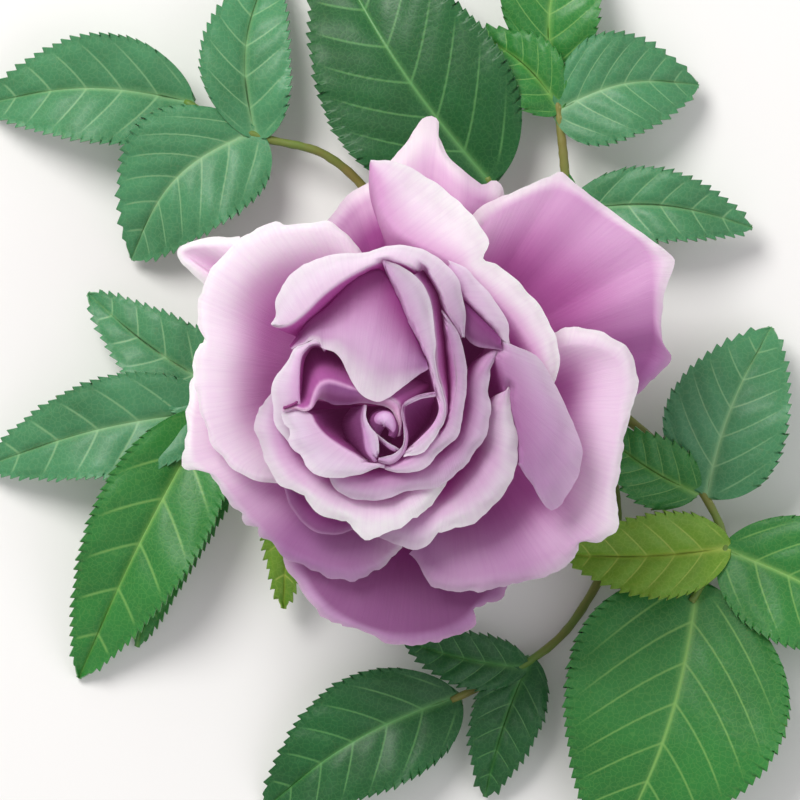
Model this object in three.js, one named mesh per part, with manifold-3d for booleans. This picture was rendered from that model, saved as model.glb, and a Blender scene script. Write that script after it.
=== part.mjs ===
// A cut flowering shoot of a shrub rose, lying down with its open bloom facing up.
// Millimetres, +Z up, floor at z = 0. Lengths across are measured from the heart of the bloom.
import * as THREE from "three";
import * as BufferGeometryUtils from "three/addons/utils/BufferGeometryUtils.js";
import Module from "manifold-3d";

const wasm = await Module();
wasm.setup();
const { Manifold, Mesh } = wasm;

// Driving dimensions of the bloom
const LIFT = 31; // height of the petals' foot above the floor
const FOOT = new THREE.Vector3(6, 7, LIFT); // where the petals grow from, below the heart
const HEART_HEIGHT = 38; // height of the heart above the petals' foot
// The column of packed claws: radius at the foot, widest at the belly, narrow at the wrapped tip
const CORE = { foot: 4.8, belly: 6.2, bellyHeight: 16, tip: 1.8, sides: 8 };
const PETAL_THICKNESS = 0.8;
const GAP = 0.3; // clearance kept between touching solids
const WELD = 2e-3; // corners closer than this become one
const WALL_ROWS = 3; // rows of faces from a petal's foot to the crest of its fold
const LIP_ROWS = 2; // rows of faces from the crest to the free rim
const PETAL_SPREAD = 0.5; // half angle that a petal covers at its foot, in radians
const RIM_TUCK = 0.5; // how far the rim turns down, as a slope

// Driving dimensions of the hip, sepals and stem
const HIP_HEIGHT = 15;
const HIP_RADIUS = 6.4;
const HIP_MOUTH = 5.4;
const HIP_WAIST = 0.22; // where the sepals leave the hip, as a share of its height below the mouth
const SEPAL = {
  count: 5, length: 34, width: 8, thickness: 0.8, start: 5.6, hump: 3, droop: 12, cup: 0.25, turn: 0.35, rows: 7,
};
const STEM_NECK = 2.3; // radius under the hip
const STEM_FOOT = 3.2; // radius at the cut
const STEM_SIDES = 10;
const STEM_STEPS = 14;

// Driving dimensions of the leaves
const LEAF_THICKNESS = 0.8;
const LEAF_ROOT = 1.5; // length of a leaflet's foot inside its rachis
const RACHIS_RADIUS = 0.95;
const RACHIS_SIDES = 5;
const RACHIS_STEPS = 12;
const LEAF_SHOULDER = 0.72; // below 1 the widest place lies nearer the base
const LEAF_FULLNESS = 0.75; // below 1 the outline is rounder
const LEAF_TIP = 0.035; // width left at the very tip, as a share of the widest
const LEAF_ROWS = 7;
const LEAF_COLUMNS = 2;

const COLOURS = {
  petal: 0xcfa6d2,
  calyx: 0x5f8f45,
  stem: 0x6a8c3f,
  leaf: 0x2f7d2b,
};

// Each petal is a sheet from its foot, up its wall to the crest of its fold, and over to its free rim.
// Rim and crest are smooth curves through a few points, with their height above the petals' foot.
// claw is the height of its foot, and foot its distance from the axis there; rise, lean and reach
// shape the wall's belly, and columns is the number of points across.
// The first ones lie on top; each later one is trimmed clear of those before it.
const PETALS = {
  hood: {
    claw: 15, foot: 2.6, lean: 0.5, rise: 8, reach: 2, columns: 7,
    rim: [[-16.8, 2.9, 40], [-14.2, 5.5, 38.9], [-11.8, 5.1, 38.2], [-10, 3.9, 37.8], [-6, 4.2, 38.1],
      [-1, 3.8, 38.4], [1.3, 1.6, 38.2], [1.7, -0.5, 37.6]],
    crest: [[-17.5, 4, 40.3], [-15.2, 4.6, 40.9], [-13.2, 7.8, 41], [-10, 8.1, 40.9], [-5, 6.2, 40],
      [-0.6, 4.3, 39.4], [2, 2, 38.9], [2.6, -1, 38.3]],
  },
  tongue_middle: {
    claw: 15, foot: 4.2, lean: 1, rise: 10, reach: 12, columns: 8,
    rim: [[-14.4, 16.6, 41], [-10.4, 14.3, 41], [-7.8, 9.6, 40.6], [-4.4, 5.7, 40], [-1, 4.8, 39.8],
      [3, 7.6, 40.4], [6, 9.9, 40.9], [8.8, 11, 41.4]],
    crest: [[-16.5, 19.5, 41.6], [-12, 23.5, 43.4], [-7, 27, 44.4], [-1, 28.5, 44.8], [4, 25, 44.6],
      [7, 19.5, 43.9], [8.8, 13, 42.4]],
  },
  crescent_inner: {
    claw: 15, foot: 3.6, lean: 0.5, rise: 8, reach: 2, columns: 9,
    rim: [[-1, 33, 44.5], [4.2, 30.9, 44.5], [8.2, 25.5, 44], [9.2, 17, 43.5], [9.7, 10, 42.5],
      [11.4, 3.6, 41.2], [9, -2.7, 40.2], [5, -5.9, 39.5], [2.8, -6.3, 39]],
    crest: [[-0.8, 32.6, 45], [1, 27.5, 45.7], [4, 21.3, 45.5], [7.5, 14.3, 44.5], [9.6, 7.5, 43.2],
      [10.5, 3.8, 42.2], [8.5, -0.4, 41.2], [3.3, -5, 40]],
  },
  ring_inner: {
    claw: 15, foot: 3.6, lean: 0.8, rise: 8, reach: 2.5, columns: 8,
    rim: [[-2.3, -7.4, 38], [-6, -9.7, 38], [-11, -10.6, 37.8], [-15.6, -8.9, 37.6],
      [-17.5, -5.4, 37.8], [-20, -2.8, 37.8], [-21.4, 0.8, 38.1], [-21.2, 3, 38.8], [-18.5, 3.8, 39.5]],
    crest: [[-3.5, -7.2, 38.8], [-8, -5.5, 40], [-12.6, -2.2, 40.6], [-15.2, 1, 41], [-16.8, 3.1, 40.8],
      [-18, 3.8, 40.5]],
  },
  wall_left: {
    claw: 15, foot: 4.6, lean: 0.9, rise: 8, reach: 2.5, columns: 7,
    rim: [[-12.5, 15.2, 41], [-14.6, 17.2, 41.5], [-18.8, 15.6, 41], [-20.4, 12.4, 40.6],
      [-23, 8.4, 40.1], [-23.3, 3.5, 39.4], [-21.9, -2, 38.4], [-17, -7, 37]],
    crest: [[-12.5, 14.8, 41.5], [-14.6, 16, 42], [-17.4, 13.4, 42.1], [-18.4, 8, 41.7], [-18, 2, 40.5],
      [-14.5, -5, 38.5]],
  },
  arch: {
    claw: 13, foot: 5.6, lean: 0.9, rise: 10, reach: 3, columns: 12,
    rim: [[-23.3, 20.1, 41], [-22.3, 24.6, 41.1], [-18.6, 30.8, 41.8], [-12, 33.7, 42.5],
      [-5, 34.2, 43.5], [2, 35.8, 44.2], [9, 34, 44.2], [13.8, 29.3, 43.5], [15.4, 22.5, 42.5],
      [15.1, 17.4, 41.5]],
    crest: [[-22.8, 20, 41.8], [-18.5, 21, 43.5], [-12, 27, 45], [-6, 31.7, 46.2], [0, 33.5, 46.5],
      [5, 31.5, 46.2], [10, 26, 45], [15, 17.6, 42]],
  },
  crescent_outer: {
    claw: 15, foot: 4.8, lean: 0.6, rise: 8, reach: 2.5, columns: 9,
    rim: [[11.5, 26, 42], [14.8, 18, 41.8], [15.9, 10, 41], [14.9, 2, 40], [14.2, -2, 39.3],
      [9, -6.8, 38.3], [4, -9.4, 37.7], [-2, -7.5, 37]],
    crest: [[10.7, 25, 43], [12.6, 17, 42.8], [13.5, 9, 42.1], [12.6, 2.6, 41.3], [9.5, -2, 40.5],
      [4, -6.3, 39.5], [-1.5, -6.5, 38.5]],
  },
  small_wall: {
    claw: 11, foot: 5.6, lean: 1.2, rise: 8, reach: 3, columns: 5,
    rim: [[14.8, 18.5, 39.5], [16.7, 16.3, 38.7], [23, 15, 38]],
    crest: [[15.2, 23.5, 40.5], [18, 20.5, 41], [22.5, 16.5, 39.5]],
  },
  band_low: {
    claw: 11, foot: 5.6, lean: 1.1, rise: 7, reach: 3.5, columns: 12,
    rim: [[21.8, 15.2, 36.5], [20.2, 9, 36.9], [20.5, 3, 36], [19.5, -2.5, 35.8], [15.5, -7.7, 35],
      [11, -11.7, 34.2], [4, -13.1, 34], [-3, -15.3, 33.7], [-9, -14.1, 34], [-12.5, -9.5, 35]],
    crest: [[21.5, 15, 37.5], [17.4, 8.5, 39], [16.9, 2, 38.8], [14.3, -4.7, 38], [8.5, -9, 37.2],
      [0, -11.3, 36.7], [-8, -11.3, 36.8], [-11.5, -9.5, 36.8]],
  },
  ring_low_left: {
    claw: 9, foot: 5.6, lean: 1.6, rise: 6, reach: 4, columns: 14,
    rim: [[-21, 8, 36], [-24.6, 5, 35.3], [-26.6, 1.3, 34.5], [-25.4, -5, 33.9], [-22, -11.3, 33],
      [-17.6, -14.1, 32.2], [-12.4, -18.4, 31.2], [-8, -20.6, 30.6], [-4.4, -22.8, 30],
      [3, -20.1, 30.5], [9, -15.8, 31.5], [14, -7, 32]],
    crest: [[-19.5, 7, 37.5], [-22.2, 1, 37.5], [-20.8, -7, 36.6], [-15.5, -12.4, 35.2],
      [-7, -16.5, 34], [1, -16.8, 33.8], [8, -12, 34.7], [11.5, -6, 35]],
  },
  tongue_right: {
    claw: 9, foot: 5.6, lean: 1.5, rise: 7, reach: 4, columns: 14,
    rim: [[12, 32.9, 40], [15.4, 31.5, 40.5], [20.5, 25.8, 39.5], [24, 20, 38.4], [24.7, 15.6, 37.8],
      [29.5, 14, 36.2], [33.3, 8.5, 35], [38, -2, 33.5], [39, -5.8, 32.7], [36.8, -12.8, 31],
      [33, -17.2, 29.5], [28.8, -11.6, 31.1], [26.3, -8, 32]],
    crest: [[12.2, 32.3, 41], [14.8, 25, 42.5], [18.2, 19.6, 41.5], [22.8, 13, 39.8], [25.2, 5, 38.2],
      [25.7, -3, 35.6], [26, -8, 33]],
  },
  band_lower_right: {
    claw: 7, foot: 5.6, lean: 1.8, rise: 6, reach: 5, columns: 11,
    rim: [[24.5, 8, 34], [24.3, 4, 33.4], [25.9, -2.5, 32.4], [25.5, -9.5, 31.3], [21.5, -15.8, 29.9],
      [16.5, -20.1, 29], [11.4, -21.4, 28.5], [6.4, -25.1, 27], [-3, -22, 26]],
    crest: [[23.5, 7, 35], [21.5, 1, 35], [21.2, -7, 34.2], [16.5, -13.6, 32.6], [9, -18.5, 31],
      [-2, -19.5, 29]],
  },
  small_fold: {
    claw: 5, foot: 5.6, lean: 2.2, rise: 5, reach: 5, columns: 6,
    rim: [[-21, -12, 28], [-19.6, -16.5, 27], [-16, -20.6, 25.9], [-8, -22.3, 25], [0, -22, 25]],
    crest: [[-19, -11, 29.5], [-17, -16, 28.8], [-13, -19, 27.8], [-6, -19.6, 27], [0, -19.5, 27]],
  },
  blade_right: {
    claw: 5, foot: 5.6, lean: 1.8, rise: 7, reach: 6, columns: 14,
    rim: [[-3.6, 53.3, 31], [3, 52, 32.5], [9.5, 48.7, 33.4], [16, 43.3, 34.5], [20.9, 36.5, 35.5],
      [20.6, 34, 36], [24.8, 29.8, 34.6], [31, 23.3, 33.5], [34.2, 15, 32], [34.3, 11, 31], [31, 3, 28]],
    crest: [[-3.6, 53, 31.2], [-2, 47, 35], [0.5, 41.5, 37.5], [5.5, 37.5, 39], [12, 33.5, 40],
      [18.5, 28, 39], [25.5, 21.5, 36], [30.5, 11, 33.5], [29, 1, 29]],
  },
  cheek_left: {
    claw: 4, foot: 5.6, lean: 2.4, rise: 6, reach: 7, columns: 14,
    rim: [[-3, 31, 28], [-7, 36.5, 30.8], [-12, 40.6, 31], [-21.5, 40.8, 31], [-29, 38, 31.5],
      [-35, 31.8, 32], [-38.2, 24, 31.8], [-37.8, 17.4, 31.6], [-38.8, 12, 30.9], [-37.9, 4, 30],
      [-35, -4.2, 28.8], [-28, -10.5, 28], [-20, -11.5, 26]],
    crest: [[-3, 29, 31], [-11, 38, 33], [-20, 38.2, 33.2], [-30, 34, 34], [-35, 26, 34.3],
      [-35.7, 13, 33.3], [-35.3, 0, 31.4], [-28.5, -8.5, 29.5], [-20, -9.5, 27]],
  },
  guard_lower_right: {
    claw: 1, foot: 6.2, lean: 3, rise: 5, reach: 8, columns: 17,
    rim: [[30, 17, 24], [36, 19.4, 25], [44, 18.3, 24], [49, 14.2, 22], [50.2, 9, 22], [48, -1, 23.8],
      [46.2, -12, 24], [46, -20.6, 22.3], [43.3, -23.4, 21.5], [39.6, -24, 21.8], [36, -28.6, 20.3],
      [28, -31.8, 19.5], [13, -33.5, 18.5], [8, -31.4, 17.8], [4.3, -26, 17]],
    crest: [[30, 14, 26], [38, 16.2, 27], [46, 13, 25.2], [46, 2, 25.8], [43.3, -12, 25.8],
      [41, -20.8, 24.3], [33, -25.6, 23], [22, -29, 21.5], [12, -29.8, 20.7], [6.5, -23, 19]],
  },
  guard_left_low: {
    claw: 1, foot: 6.2, lean: 3, rise: 5, reach: 9, columns: 14,
    rim: [[-36, 20, 20], [-39.8, 11, 22.6], [-40.4, 0, 24], [-41.3, -8.8, 23], [-36.6, -9.7, 23],
      [-33, -14, 22.8], [-30.4, -18, 21.4], [-27.4, -21, 20.7], [-20, -27, 19], [-11, -31, 18],
      [-3, -30, 18], [3, -24.3, 18]],
    crest: [[-34, 16, 23], [-37.8, 6, 25.3], [-38.5, -6, 25.5], [-33, -11.2, 24.8], [-26.5, -18.8, 23],
      [-18, -25.2, 20.7], [-8, -28.3, 19.8], [0, -24.5, 19]],
  },
  guard_upper_right: {
    claw: 0, foot: 6.2, lean: 3.6, rise: 4, reach: 11, columns: 15,
    rim: [[15, 40, 19], [20, 45, 20.5], [28, 48.4, 19.2], [34.8, 51, 17.5], [43, 44.8, 18.5],
      [52, 38.3, 17.5], [57.9, 33.3, 15], [55.5, 25, 16.4], [55.5, 17, 15.5], [57.3, 13.2, 12.5],
      [53, 8.5, 11], [48, 4, 9]],
    crest: [[17, 38, 20], [24, 43.6, 21], [34.5, 47, 20], [43, 42, 20], [52, 35, 18.5],
      [53.2, 24, 17.6], [52.8, 14, 15.2], [47, 7, 11]],
  },
  guard_top: {
    claw: 1, foot: 6.2, lean: 3.2, rise: 4, reach: 10, columns: 11,
    rim: [[-14, 40, 15], [-8, 47, 17.6], [-2, 51, 18], [5, 59, 16], [9, 62.9, 13.8], [11, 57.5, 16],
      [15, 51.4, 18], [20.5, 48.4, 18.8], [25, 43, 15]],
    crest: [[-9, 38, 18], [-3, 44, 20], [3, 53, 19.3], [8.8, 60, 16.5], [11, 53, 18.6],
      [17, 45.8, 19.8], [21, 41, 18]],
  },
  guard_left_tip: {
    claw: 0, foot: 6.2, lean: 3.2, rise: 4, reach: 10, columns: 8,
    rim: [[-30, 38, 18], [-37, 37.8, 18.6], [-42.7, 35, 15.5], [-39, 30.3, 17], [-33, 24, 17]],
    crest: [[-29, 35, 21], [-36, 35.8, 20.8], [-41.3, 34.6, 16.8], [-37, 31, 19.6], [-32, 26, 19]],
  },
  guard_bottom: {
    claw: 0, foot: 6.2, lean: 3.6, rise: 4, reach: 11, columns: 13,
    rim: [[-20, -22, 12], [-21, -27.5, 13.3], [-16, -35.6, 14], [-12.8, -39.6, 13], [-7, -40.8, 13],
      [0, -44.6, 12], [10, -43.9, 12], [18, -40, 12], [18.3, -37.2, 12.4], [23, -35, 12.7],
      [24, -30, 12]],
    crest: [[-17, -23, 14], [-15, -31.8, 15.6], [-8, -38.5, 15.3], [2, -41.6, 14.9], [13, -39.5, 14.5],
      [20, -32.4, 14.4], [21, -28, 14]],
  },
};

// The stem bends over under the hip and lies on the floor, under the petals, to its cut.
const STEM_ROUTE = [[6, 7, LIFT - HIP_HEIGHT - GAP], [6.6, 7.4, 12], [9.5, 9.5, 6.6], [15, 13.4, 3.4],
  [25, 20.5, 3.1], [40, 31, 3.2], [58, 43, 3.2]];

// Each compound leaf has a rachis and leaflets. A leaflet is given by its base, its tip, its width,
// how high its middle arches and how far its blade folds up along the midrib.
const LEAVES = {
  leaf_right: {
    rachis: [[30, 22.4, 5.2], [45, 5, 9], [56, -6, 10], [63, -14, 10], [69.3, -26, 10],
      [66.5, -33, 9.6], [65.4, -36.5, 10.4]],
    leaflets: [
      { base: [66.2, -33.5, 9.5], tip: [49, -89, 0.6], width: 46, arch: 7, fold: 0.1, bow: 3 },
      { base: [68.8, -26.2, 10.3], tip: [33.5, -29.5, 9], width: 19, arch: 3, fold: 0.35, bow: 1 },
      { base: [69.8, -26.2, 10.3], tip: [107, -47, 2], width: 26, arch: 6, fold: 0.15, bow: 2 },
      { base: [64, -13.2, 10.5], tip: [75, 20.5, 6], width: 25, arch: 6, fold: 0.15, bow: 2 },
      { base: [62.5, -13.6, 10.5], tip: [43.5, -1.5, 13], width: 14, arch: 3, fold: 0.2, bow: 1 },
    ],
  },
  leaf_bottom: {
    rachis: [[33, 16.6, 4.4], [44, -4, 3.6], [47, -22, 3.4], [38, -41, 4], [29, -49, 5], [13, -57, 6]],
    leaflets: [
      { base: [13.4, -56.8, 6], tip: [-26, -80, 0.6], width: 24, arch: 5, fold: 0.15, bow: -3 },
      { base: [27.5, -50, 5.2], tip: [3, -44.5, 6], width: 11, arch: 3, fold: 0.25, bow: 1 },
      { base: [29, -49.4, 5], tip: [20, -77, 2], width: 14, arch: 3, fold: 0.2, bow: -1 },
    ],
  },
  leaf_left: {
    rachis: [[11, 5.5, 9.6], [-2, 3, 8], [-14, 3, 9], [-28, 4, 11], [-36, 2, 12]],
    leaflets: [
      { base: [-35, 1.6, 12.3], tip: [-60.5, -51.5, 0.7], width: 24, arch: 7, fold: 0.3, bow: 5 },
      { base: [-29, 3.6, 11.3], tip: [-52, -46, 1.5], width: 15, arch: 2, fold: 0.2, bow: -3 },
      { base: [-14.5, 2.6, 9.2], tip: [-21.6, -38, 7], width: 12, arch: 3, fold: 0.25, bow: -2 },
      { base: [-35.6, 2.6, 12.3], tip: [-84, -9, 2], width: 20, arch: 6, fold: 0.2, bow: -2 },
      { base: [-28.5, 4.6, 11.3], tip: [-62, 27, 5], width: 17, arch: 4, fold: 0.2, bow: 2 },
    ],
  },
  leaf_upper_left: {
    rachis: [[13, 13.4, 6.4], [4, 28, 6], [-3, 46, 7], [-13, 55.5, 9], [-25, 58.8, 10], [-33, 61.6, 10],
      [-42, 66.5, 9]],
    leaflets: [
      { base: [-41.4, 66.2, 9.2], tip: [-84, 57, 1], width: 22, arch: 6, fold: 0.3, bow: 5 },
      { base: [-25.4, 58.6, 10.4], tip: [-50.5, 32.5, 3], width: 27, arch: 6, fold: 0.12, bow: -5 },
      { base: [-27, 60, 10.4], tip: [-23.5, 96, 2], width: 18, arch: 5, fold: 0.3, bow: 4 },
    ],
  },
  leaf_top: {
    rachis: [[25, 24.4, 5.6], [25, 36, 6], [22.4, 46, 8], [20.4, 51, 9]],
    leaflets: [
      { base: [20.6, 50.6, 9.2], tip: [-13, 101, 0.7], width: 37, arch: 8, fold: 0.12, bow: -5 },
    ],
  },
  leaf_upper_right: {
    rachis: [[39, 33.6, 5.8], [37.4, 42, 8], [36, 56, 10], [35, 65, 10], [33.6, 76, 9]],
    leaflets: [
      { base: [33.8, 75, 9.2], tip: [40, 104, 1], width: 20, arch: 5, fold: 0.2, bow: 3 },
      { base: [35.4, 64.4, 10.3], tip: [64, 70, 5], width: 22, arch: 4, fold: 0.15, bow: 3 },
      { base: [34.6, 65.4, 10.3], tip: [17, 81, 6], width: 13, arch: 3, fold: 0.2, bow: -2 },
      { base: [37.5, 43.5, 9], tip: [75, 40.5, 7], width: 15, arch: 5, fold: 0.2, bow: 3 },
    ],
  },
};

// The petals of the tight heart
const HEART = ["hood", "tongue_middle", "crescent_inner", "ring_inner", "wall_left", "crescent_outer", "arch"];

const UP = new THREE.Vector3(0, 0, 1);

function vector(point) {
  return new THREE.Vector3(...point);
}

function mix(a, b, share) {
  return a.clone().lerp(b, share);
}

// A point of the bloom's axis, which leans from the foot of the petals to the heart
function axisAt(height) {
  const heart = new THREE.Vector3(0, 0, LIFT + HEART_HEIGHT);
  return mix(FOOT, heart, height / HEART_HEIGHT);
}

// Points evenly spaced along a smooth curve through the given ones
function curveThrough(points, count) {
  const curve = new THREE.CatmullRomCurve3(points.map(vector), false, "centripetal");
  return curve.getSpacedPoints(count - 1);
}

function bezier(a, b, c, d, t) {
  const s = 1 - t;
  return a.clone().multiplyScalar(s ** 3)
    .addScaledVector(b, 3 * s * s * t)
    .addScaledVector(c, 3 * s * t * t)
    .addScaledVector(d, t ** 3);
}

// Rows of points over a petal, from its foot to its rim
function petalGrid(petal) {
  const lifted = (points) => points.map(([x, y, z]) => [x, y, z + LIFT]);
  const rim = curveThrough(lifted(petal.rim), petal.columns);
  const crest = curveThrough(lifted(petal.crest), petal.columns);
  const middle = crest.reduce((sum, point) => sum.add(point), new THREE.Vector3()).divideScalar(crest.length);
  const start = axisAt(petal.claw);
  const heading = Math.atan2(middle.y - FOOT.y, middle.x - FOOT.x);
  const side = (point) => {
    const angle = Math.atan2(point.y - FOOT.y, point.x - FOOT.x) - heading;
    return Math.atan2(Math.sin(angle), Math.cos(angle));
  };
  const turn = side(crest[petal.columns - 1]) > side(crest[0]) ? 1 : -1;
  const columns = crest.map((top, j) => {
    const across = (2 * j) / (petal.columns - 1) - 1;
    const angle = heading + turn * across * PETAL_SPREAD;
    const out = new THREE.Vector3(Math.cos(angle), Math.sin(angle), 0);
    const foot = start.clone().addScaledVector(out, petal.foot);
    const over = rim[j].clone().sub(top);
    const width = over.length();
    const flat = over.clone().setZ(0);
    const outward = top.clone().sub(FOOT).setZ(0).normalize();
    const share = Math.min(width / 2, 1);
    const along = flat.multiplyScalar(share).addScaledVector(outward, 0.5 * (1 - share)).normalize();
    const down = over.clone().divideScalar(width + 1e-9).addScaledVector(UP, -RIM_TUCK).normalize();
    const reach = Math.min(petal.reach, 0.45 * top.distanceTo(foot));
    const belly = foot.clone().addScaledVector(UP, petal.rise).addScaledVector(out, petal.rise * petal.lean);
    const shoulder = top.clone().addScaledVector(along, -reach);
    const bend = top.clone().addScaledVector(along, 0.4 * width);
    const edge = rim[j].clone().addScaledVector(down, -0.4 * width);
    const wall = [...Array(WALL_ROWS)].map((_, i) => bezier(foot, belly, shoulder, top, i / WALL_ROWS));
    const lip = [...Array(LIP_ROWS + 1)].map((_, i) => bezier(top, bend, edge, rim[j], i / LIP_ROWS));
    return [...wall, ...lip];
  });
  return columns[0].map((_, i) => columns.map((column) => column[i]));
}

// A grid of points whose outer rows and columns are pushed out by a margin
function widened(grid, margin) {
  const pushed = (point, inner) => point.clone().add(point.clone().sub(inner).setLength(margin));
  const rows = grid.map((row) => row.map((point) => point.clone()));
  const last = rows.length - 1;
  const end = rows[0].length - 1;
  rows.forEach((row) => {
    row[0] = pushed(row[0], row[1]);
    row[end] = pushed(row[end], row[end - 1]);
  });
  rows[0] = rows[0].map((point, j) => pushed(point, rows[1][j]));
  rows[last] = rows[last].map((point, j) => pushed(point, rows[last - 1][j]));
  return rows;
}

// The closed solid of a sheet that follows a grid of points
function sheetSolid(grid, thickness) {
  const rows = grid.length;
  const columns = grid[0].length;
  const at = (i, j) => grid[Math.max(0, Math.min(rows - 1, i))][Math.max(0, Math.min(columns - 1, j))];
  const positions = [];
  for (const sign of [1, -1]) {
    for (let i = 0; i < rows; i += 1) {
      for (let j = 0; j < columns; j += 1) {
        const down = at(i + 1, j).clone().sub(at(i - 1, j));
        const across = at(i, j + 1).clone().sub(at(i, j - 1));
        const normal = down.cross(across).normalize();
        positions.push(...at(i, j).clone().addScaledVector(normal, (sign * thickness) / 2));
      }
    }
  }
  const count = rows * columns;
  const index = [];
  const quad = (a, b, c, d) => index.push(a, b, c, a, c, d);
  for (let i = 0; i < rows - 1; i += 1) {
    for (let j = 0; j < columns - 1; j += 1) {
      const k = i * columns + j;
      quad(k, k + columns, k + columns + 1, k + 1);
      quad(count + k, count + k + 1, count + k + columns + 1, count + k + columns);
    }
  }
  const loop = [];
  for (let j = 0; j < columns - 1; j += 1) loop.push(j);
  for (let i = 0; i < rows - 1; i += 1) loop.push(i * columns + columns - 1);
  for (let j = columns - 1; j > 0; j -= 1) loop.push((rows - 1) * columns + j);
  for (let i = rows - 1; i > 0; i -= 1) loop.push(i * columns);
  loop.forEach((k, n) => {
    const next = loop[(n + 1) % loop.length];
    quad(k, next, next + count, k + count);
  });
  return outwardGeometry(positions, index);
}

function volumeOf(positions, index) {
  let sum = 0;
  const corner = (k) => new THREE.Vector3(...positions.slice(3 * k, 3 * k + 3));
  for (let i = 0; i < index.length; i += 3) {
    sum += corner(index[i]).dot(corner(index[i + 1]).cross(corner(index[i + 2]))) / 6;
  }
  return sum;
}

function outwardGeometry(positions, index) {
  const faces = volumeOf(positions, index) < 0 ? index.toReversed() : index;
  const geometry = new THREE.BufferGeometry();
  geometry.setAttribute("position", new THREE.Float32BufferAttribute(positions, 3));
  geometry.setIndex(faces);
  return geometry;
}

function toManifold(geometry) {
  const merged = BufferGeometryUtils.mergeVertices(geometry, 1e-4);
  return new Manifold(new Mesh({
    numProp: 3,
    vertProperties: new Float32Array(merged.attributes.position.array),
    triVerts: new Uint32Array(merged.index.array),
  }));
}

// The largest closed piece of a solid; scraps and sealed hollows are dropped
function largestPiece(manifold) {
  const mesh = manifold.getMesh();
  const rough = new THREE.BufferGeometry();
  rough.setAttribute("position", new THREE.Float32BufferAttribute(mesh.vertProperties, 3));
  rough.setIndex(Array.from(mesh.triVerts));
  const welded = BufferGeometryUtils.mergeVertices(rough, WELD);
  const positions = Array.from(welded.attributes.position.array);
  const corners = Array.from(welded.index.array);
  const faces = [];
  for (let i = 0; i < corners.length; i += 3) {
    const face = corners.slice(i, i + 3);
    if (new Set(face).size === 3) faces.push(face);
  }
  const parent = [...faces.keys()];
  const root = (k) => {
    let top = k;
    while (parent[top] !== top) {
      parent[top] = parent[parent[top]];
      top = parent[top];
    }
    return top;
  };
  const edges = new Map();
  faces.forEach((face, k) => {
    face.forEach((corner, n) => {
      const key = [corner, face[(n + 1) % 3]].sort((a, b) => a - b).join();
      edges.set(key, [...(edges.get(key) ?? []), k]);
    });
  });
  for (const sharing of edges.values()) {
    if (sharing.length === 2) parent[root(sharing[0])] = root(sharing[1]);
  }
  const pieces = new Map();
  faces.forEach((face, k) => {
    const key = root(k);
    pieces.set(key, (pieces.get(key) ?? []).concat(face));
  });
  const sizes = [...pieces.values()].map((piece) => [volumeOf(positions, piece), piece]);
  const best = sizes.reduce((a, b) => (b[0] > a[0] ? b : a))[1];
  return outwardGeometry(positions, best);
}

// A tube round a route, its radius running from start to end, with flat ends
function tubeSolid(route, startRadius, endRadius, sides, steps) {
  const centres = curveThrough(route, steps + 1);
  const positions = [];
  const index = [];
  let across = null;
  centres.forEach((centre, i) => {
    const before = centres[Math.max(i - 1, 0)];
    const after = centres[Math.min(i + 1, steps)];
    const along = after.clone().sub(before).normalize();
    const hint = across ?? (Math.abs(along.z) > 0.9 ? new THREE.Vector3(1, 0, 0) : UP);
    across = hint.clone().addScaledVector(along, -hint.dot(along)).normalize();
    const side = along.clone().cross(across);
    const radius = THREE.MathUtils.lerp(startRadius, endRadius, i / steps);
    for (let j = 0; j < sides; j += 1) {
      const angle = (2 * Math.PI * j) / sides;
      const point = centre.clone()
        .addScaledVector(across, radius * Math.cos(angle))
        .addScaledVector(side, radius * Math.sin(angle));
      positions.push(...point);
    }
  });
  addTubeFaces(index, steps, sides);
  return outwardGeometry(positions, index);
}

// A closed solid through level rings, each with its centre and radius
function ringedSolid(rings, sides) {
  const positions = [];
  const index = [];
  for (const [centre, radius] of rings) {
    for (let j = 0; j < sides; j += 1) {
      const angle = (2 * Math.PI * j) / sides;
      positions.push(centre.x + radius * Math.cos(angle), centre.y + radius * Math.sin(angle), centre.z);
    }
  }
  addTubeFaces(index, rings.length - 1, sides);
  return outwardGeometry(positions, index);
}

// Faces round a tube of stacked rings, with both ends closed
function addTubeFaces(index, steps, sides) {
  for (let i = 0; i < steps; i += 1) {
    for (let j = 0; j < sides; j += 1) {
      const a = i * sides + j;
      const b = i * sides + ((j + 1) % sides);
      index.push(a, b, b + sides, a, b + sides, a + sides);
    }
  }
  const end = steps * sides;
  for (let j = 1; j < sides - 1; j += 1) {
    index.push(0, j + 1, j);
    index.push(end, end + j, end + j + 1);
  }
}

// The blade of a leaflet, arched from base to tip and folded a little along its midrib
function leafletGrid({ base, tip, width, arch, fold, bow }) {
  const end = vector(tip);
  const along = end.clone().sub(vector(base)).setZ(0).normalize();
  const start = vector(base).addScaledVector(along, -LEAF_ROOT);
  const side = new THREE.Vector3(-along.y, along.x, 0);
  return [...Array(LEAF_ROWS + 1)].map((_, i) => {
    const t = i / LEAF_ROWS;
    const middle = mix(start, end, t)
      .addScaledVector(UP, arch * Math.sin(Math.PI * t ** 1.2))
      .addScaledVector(side, bow * Math.sin(Math.PI * t));
    const half = (width / 2) * leafProfile(t);
    return [...Array(LEAF_COLUMNS + 1)].map((__, j) => {
      const across = (2 * j) / LEAF_COLUMNS - 1;
      return middle.clone()
        .addScaledVector(side, across * half)
        .addScaledVector(UP, Math.abs(across) * half * fold);
    });
  });
}

// Share of the leaflet's half width at a share of its length: broad below the middle, pointed at the tip
function leafProfile(t) {
  const blade = Math.sin(Math.PI * t ** LEAF_SHOULDER) ** LEAF_FULLNESS;
  return Math.max(blade, LEAF_TIP);
}

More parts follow.
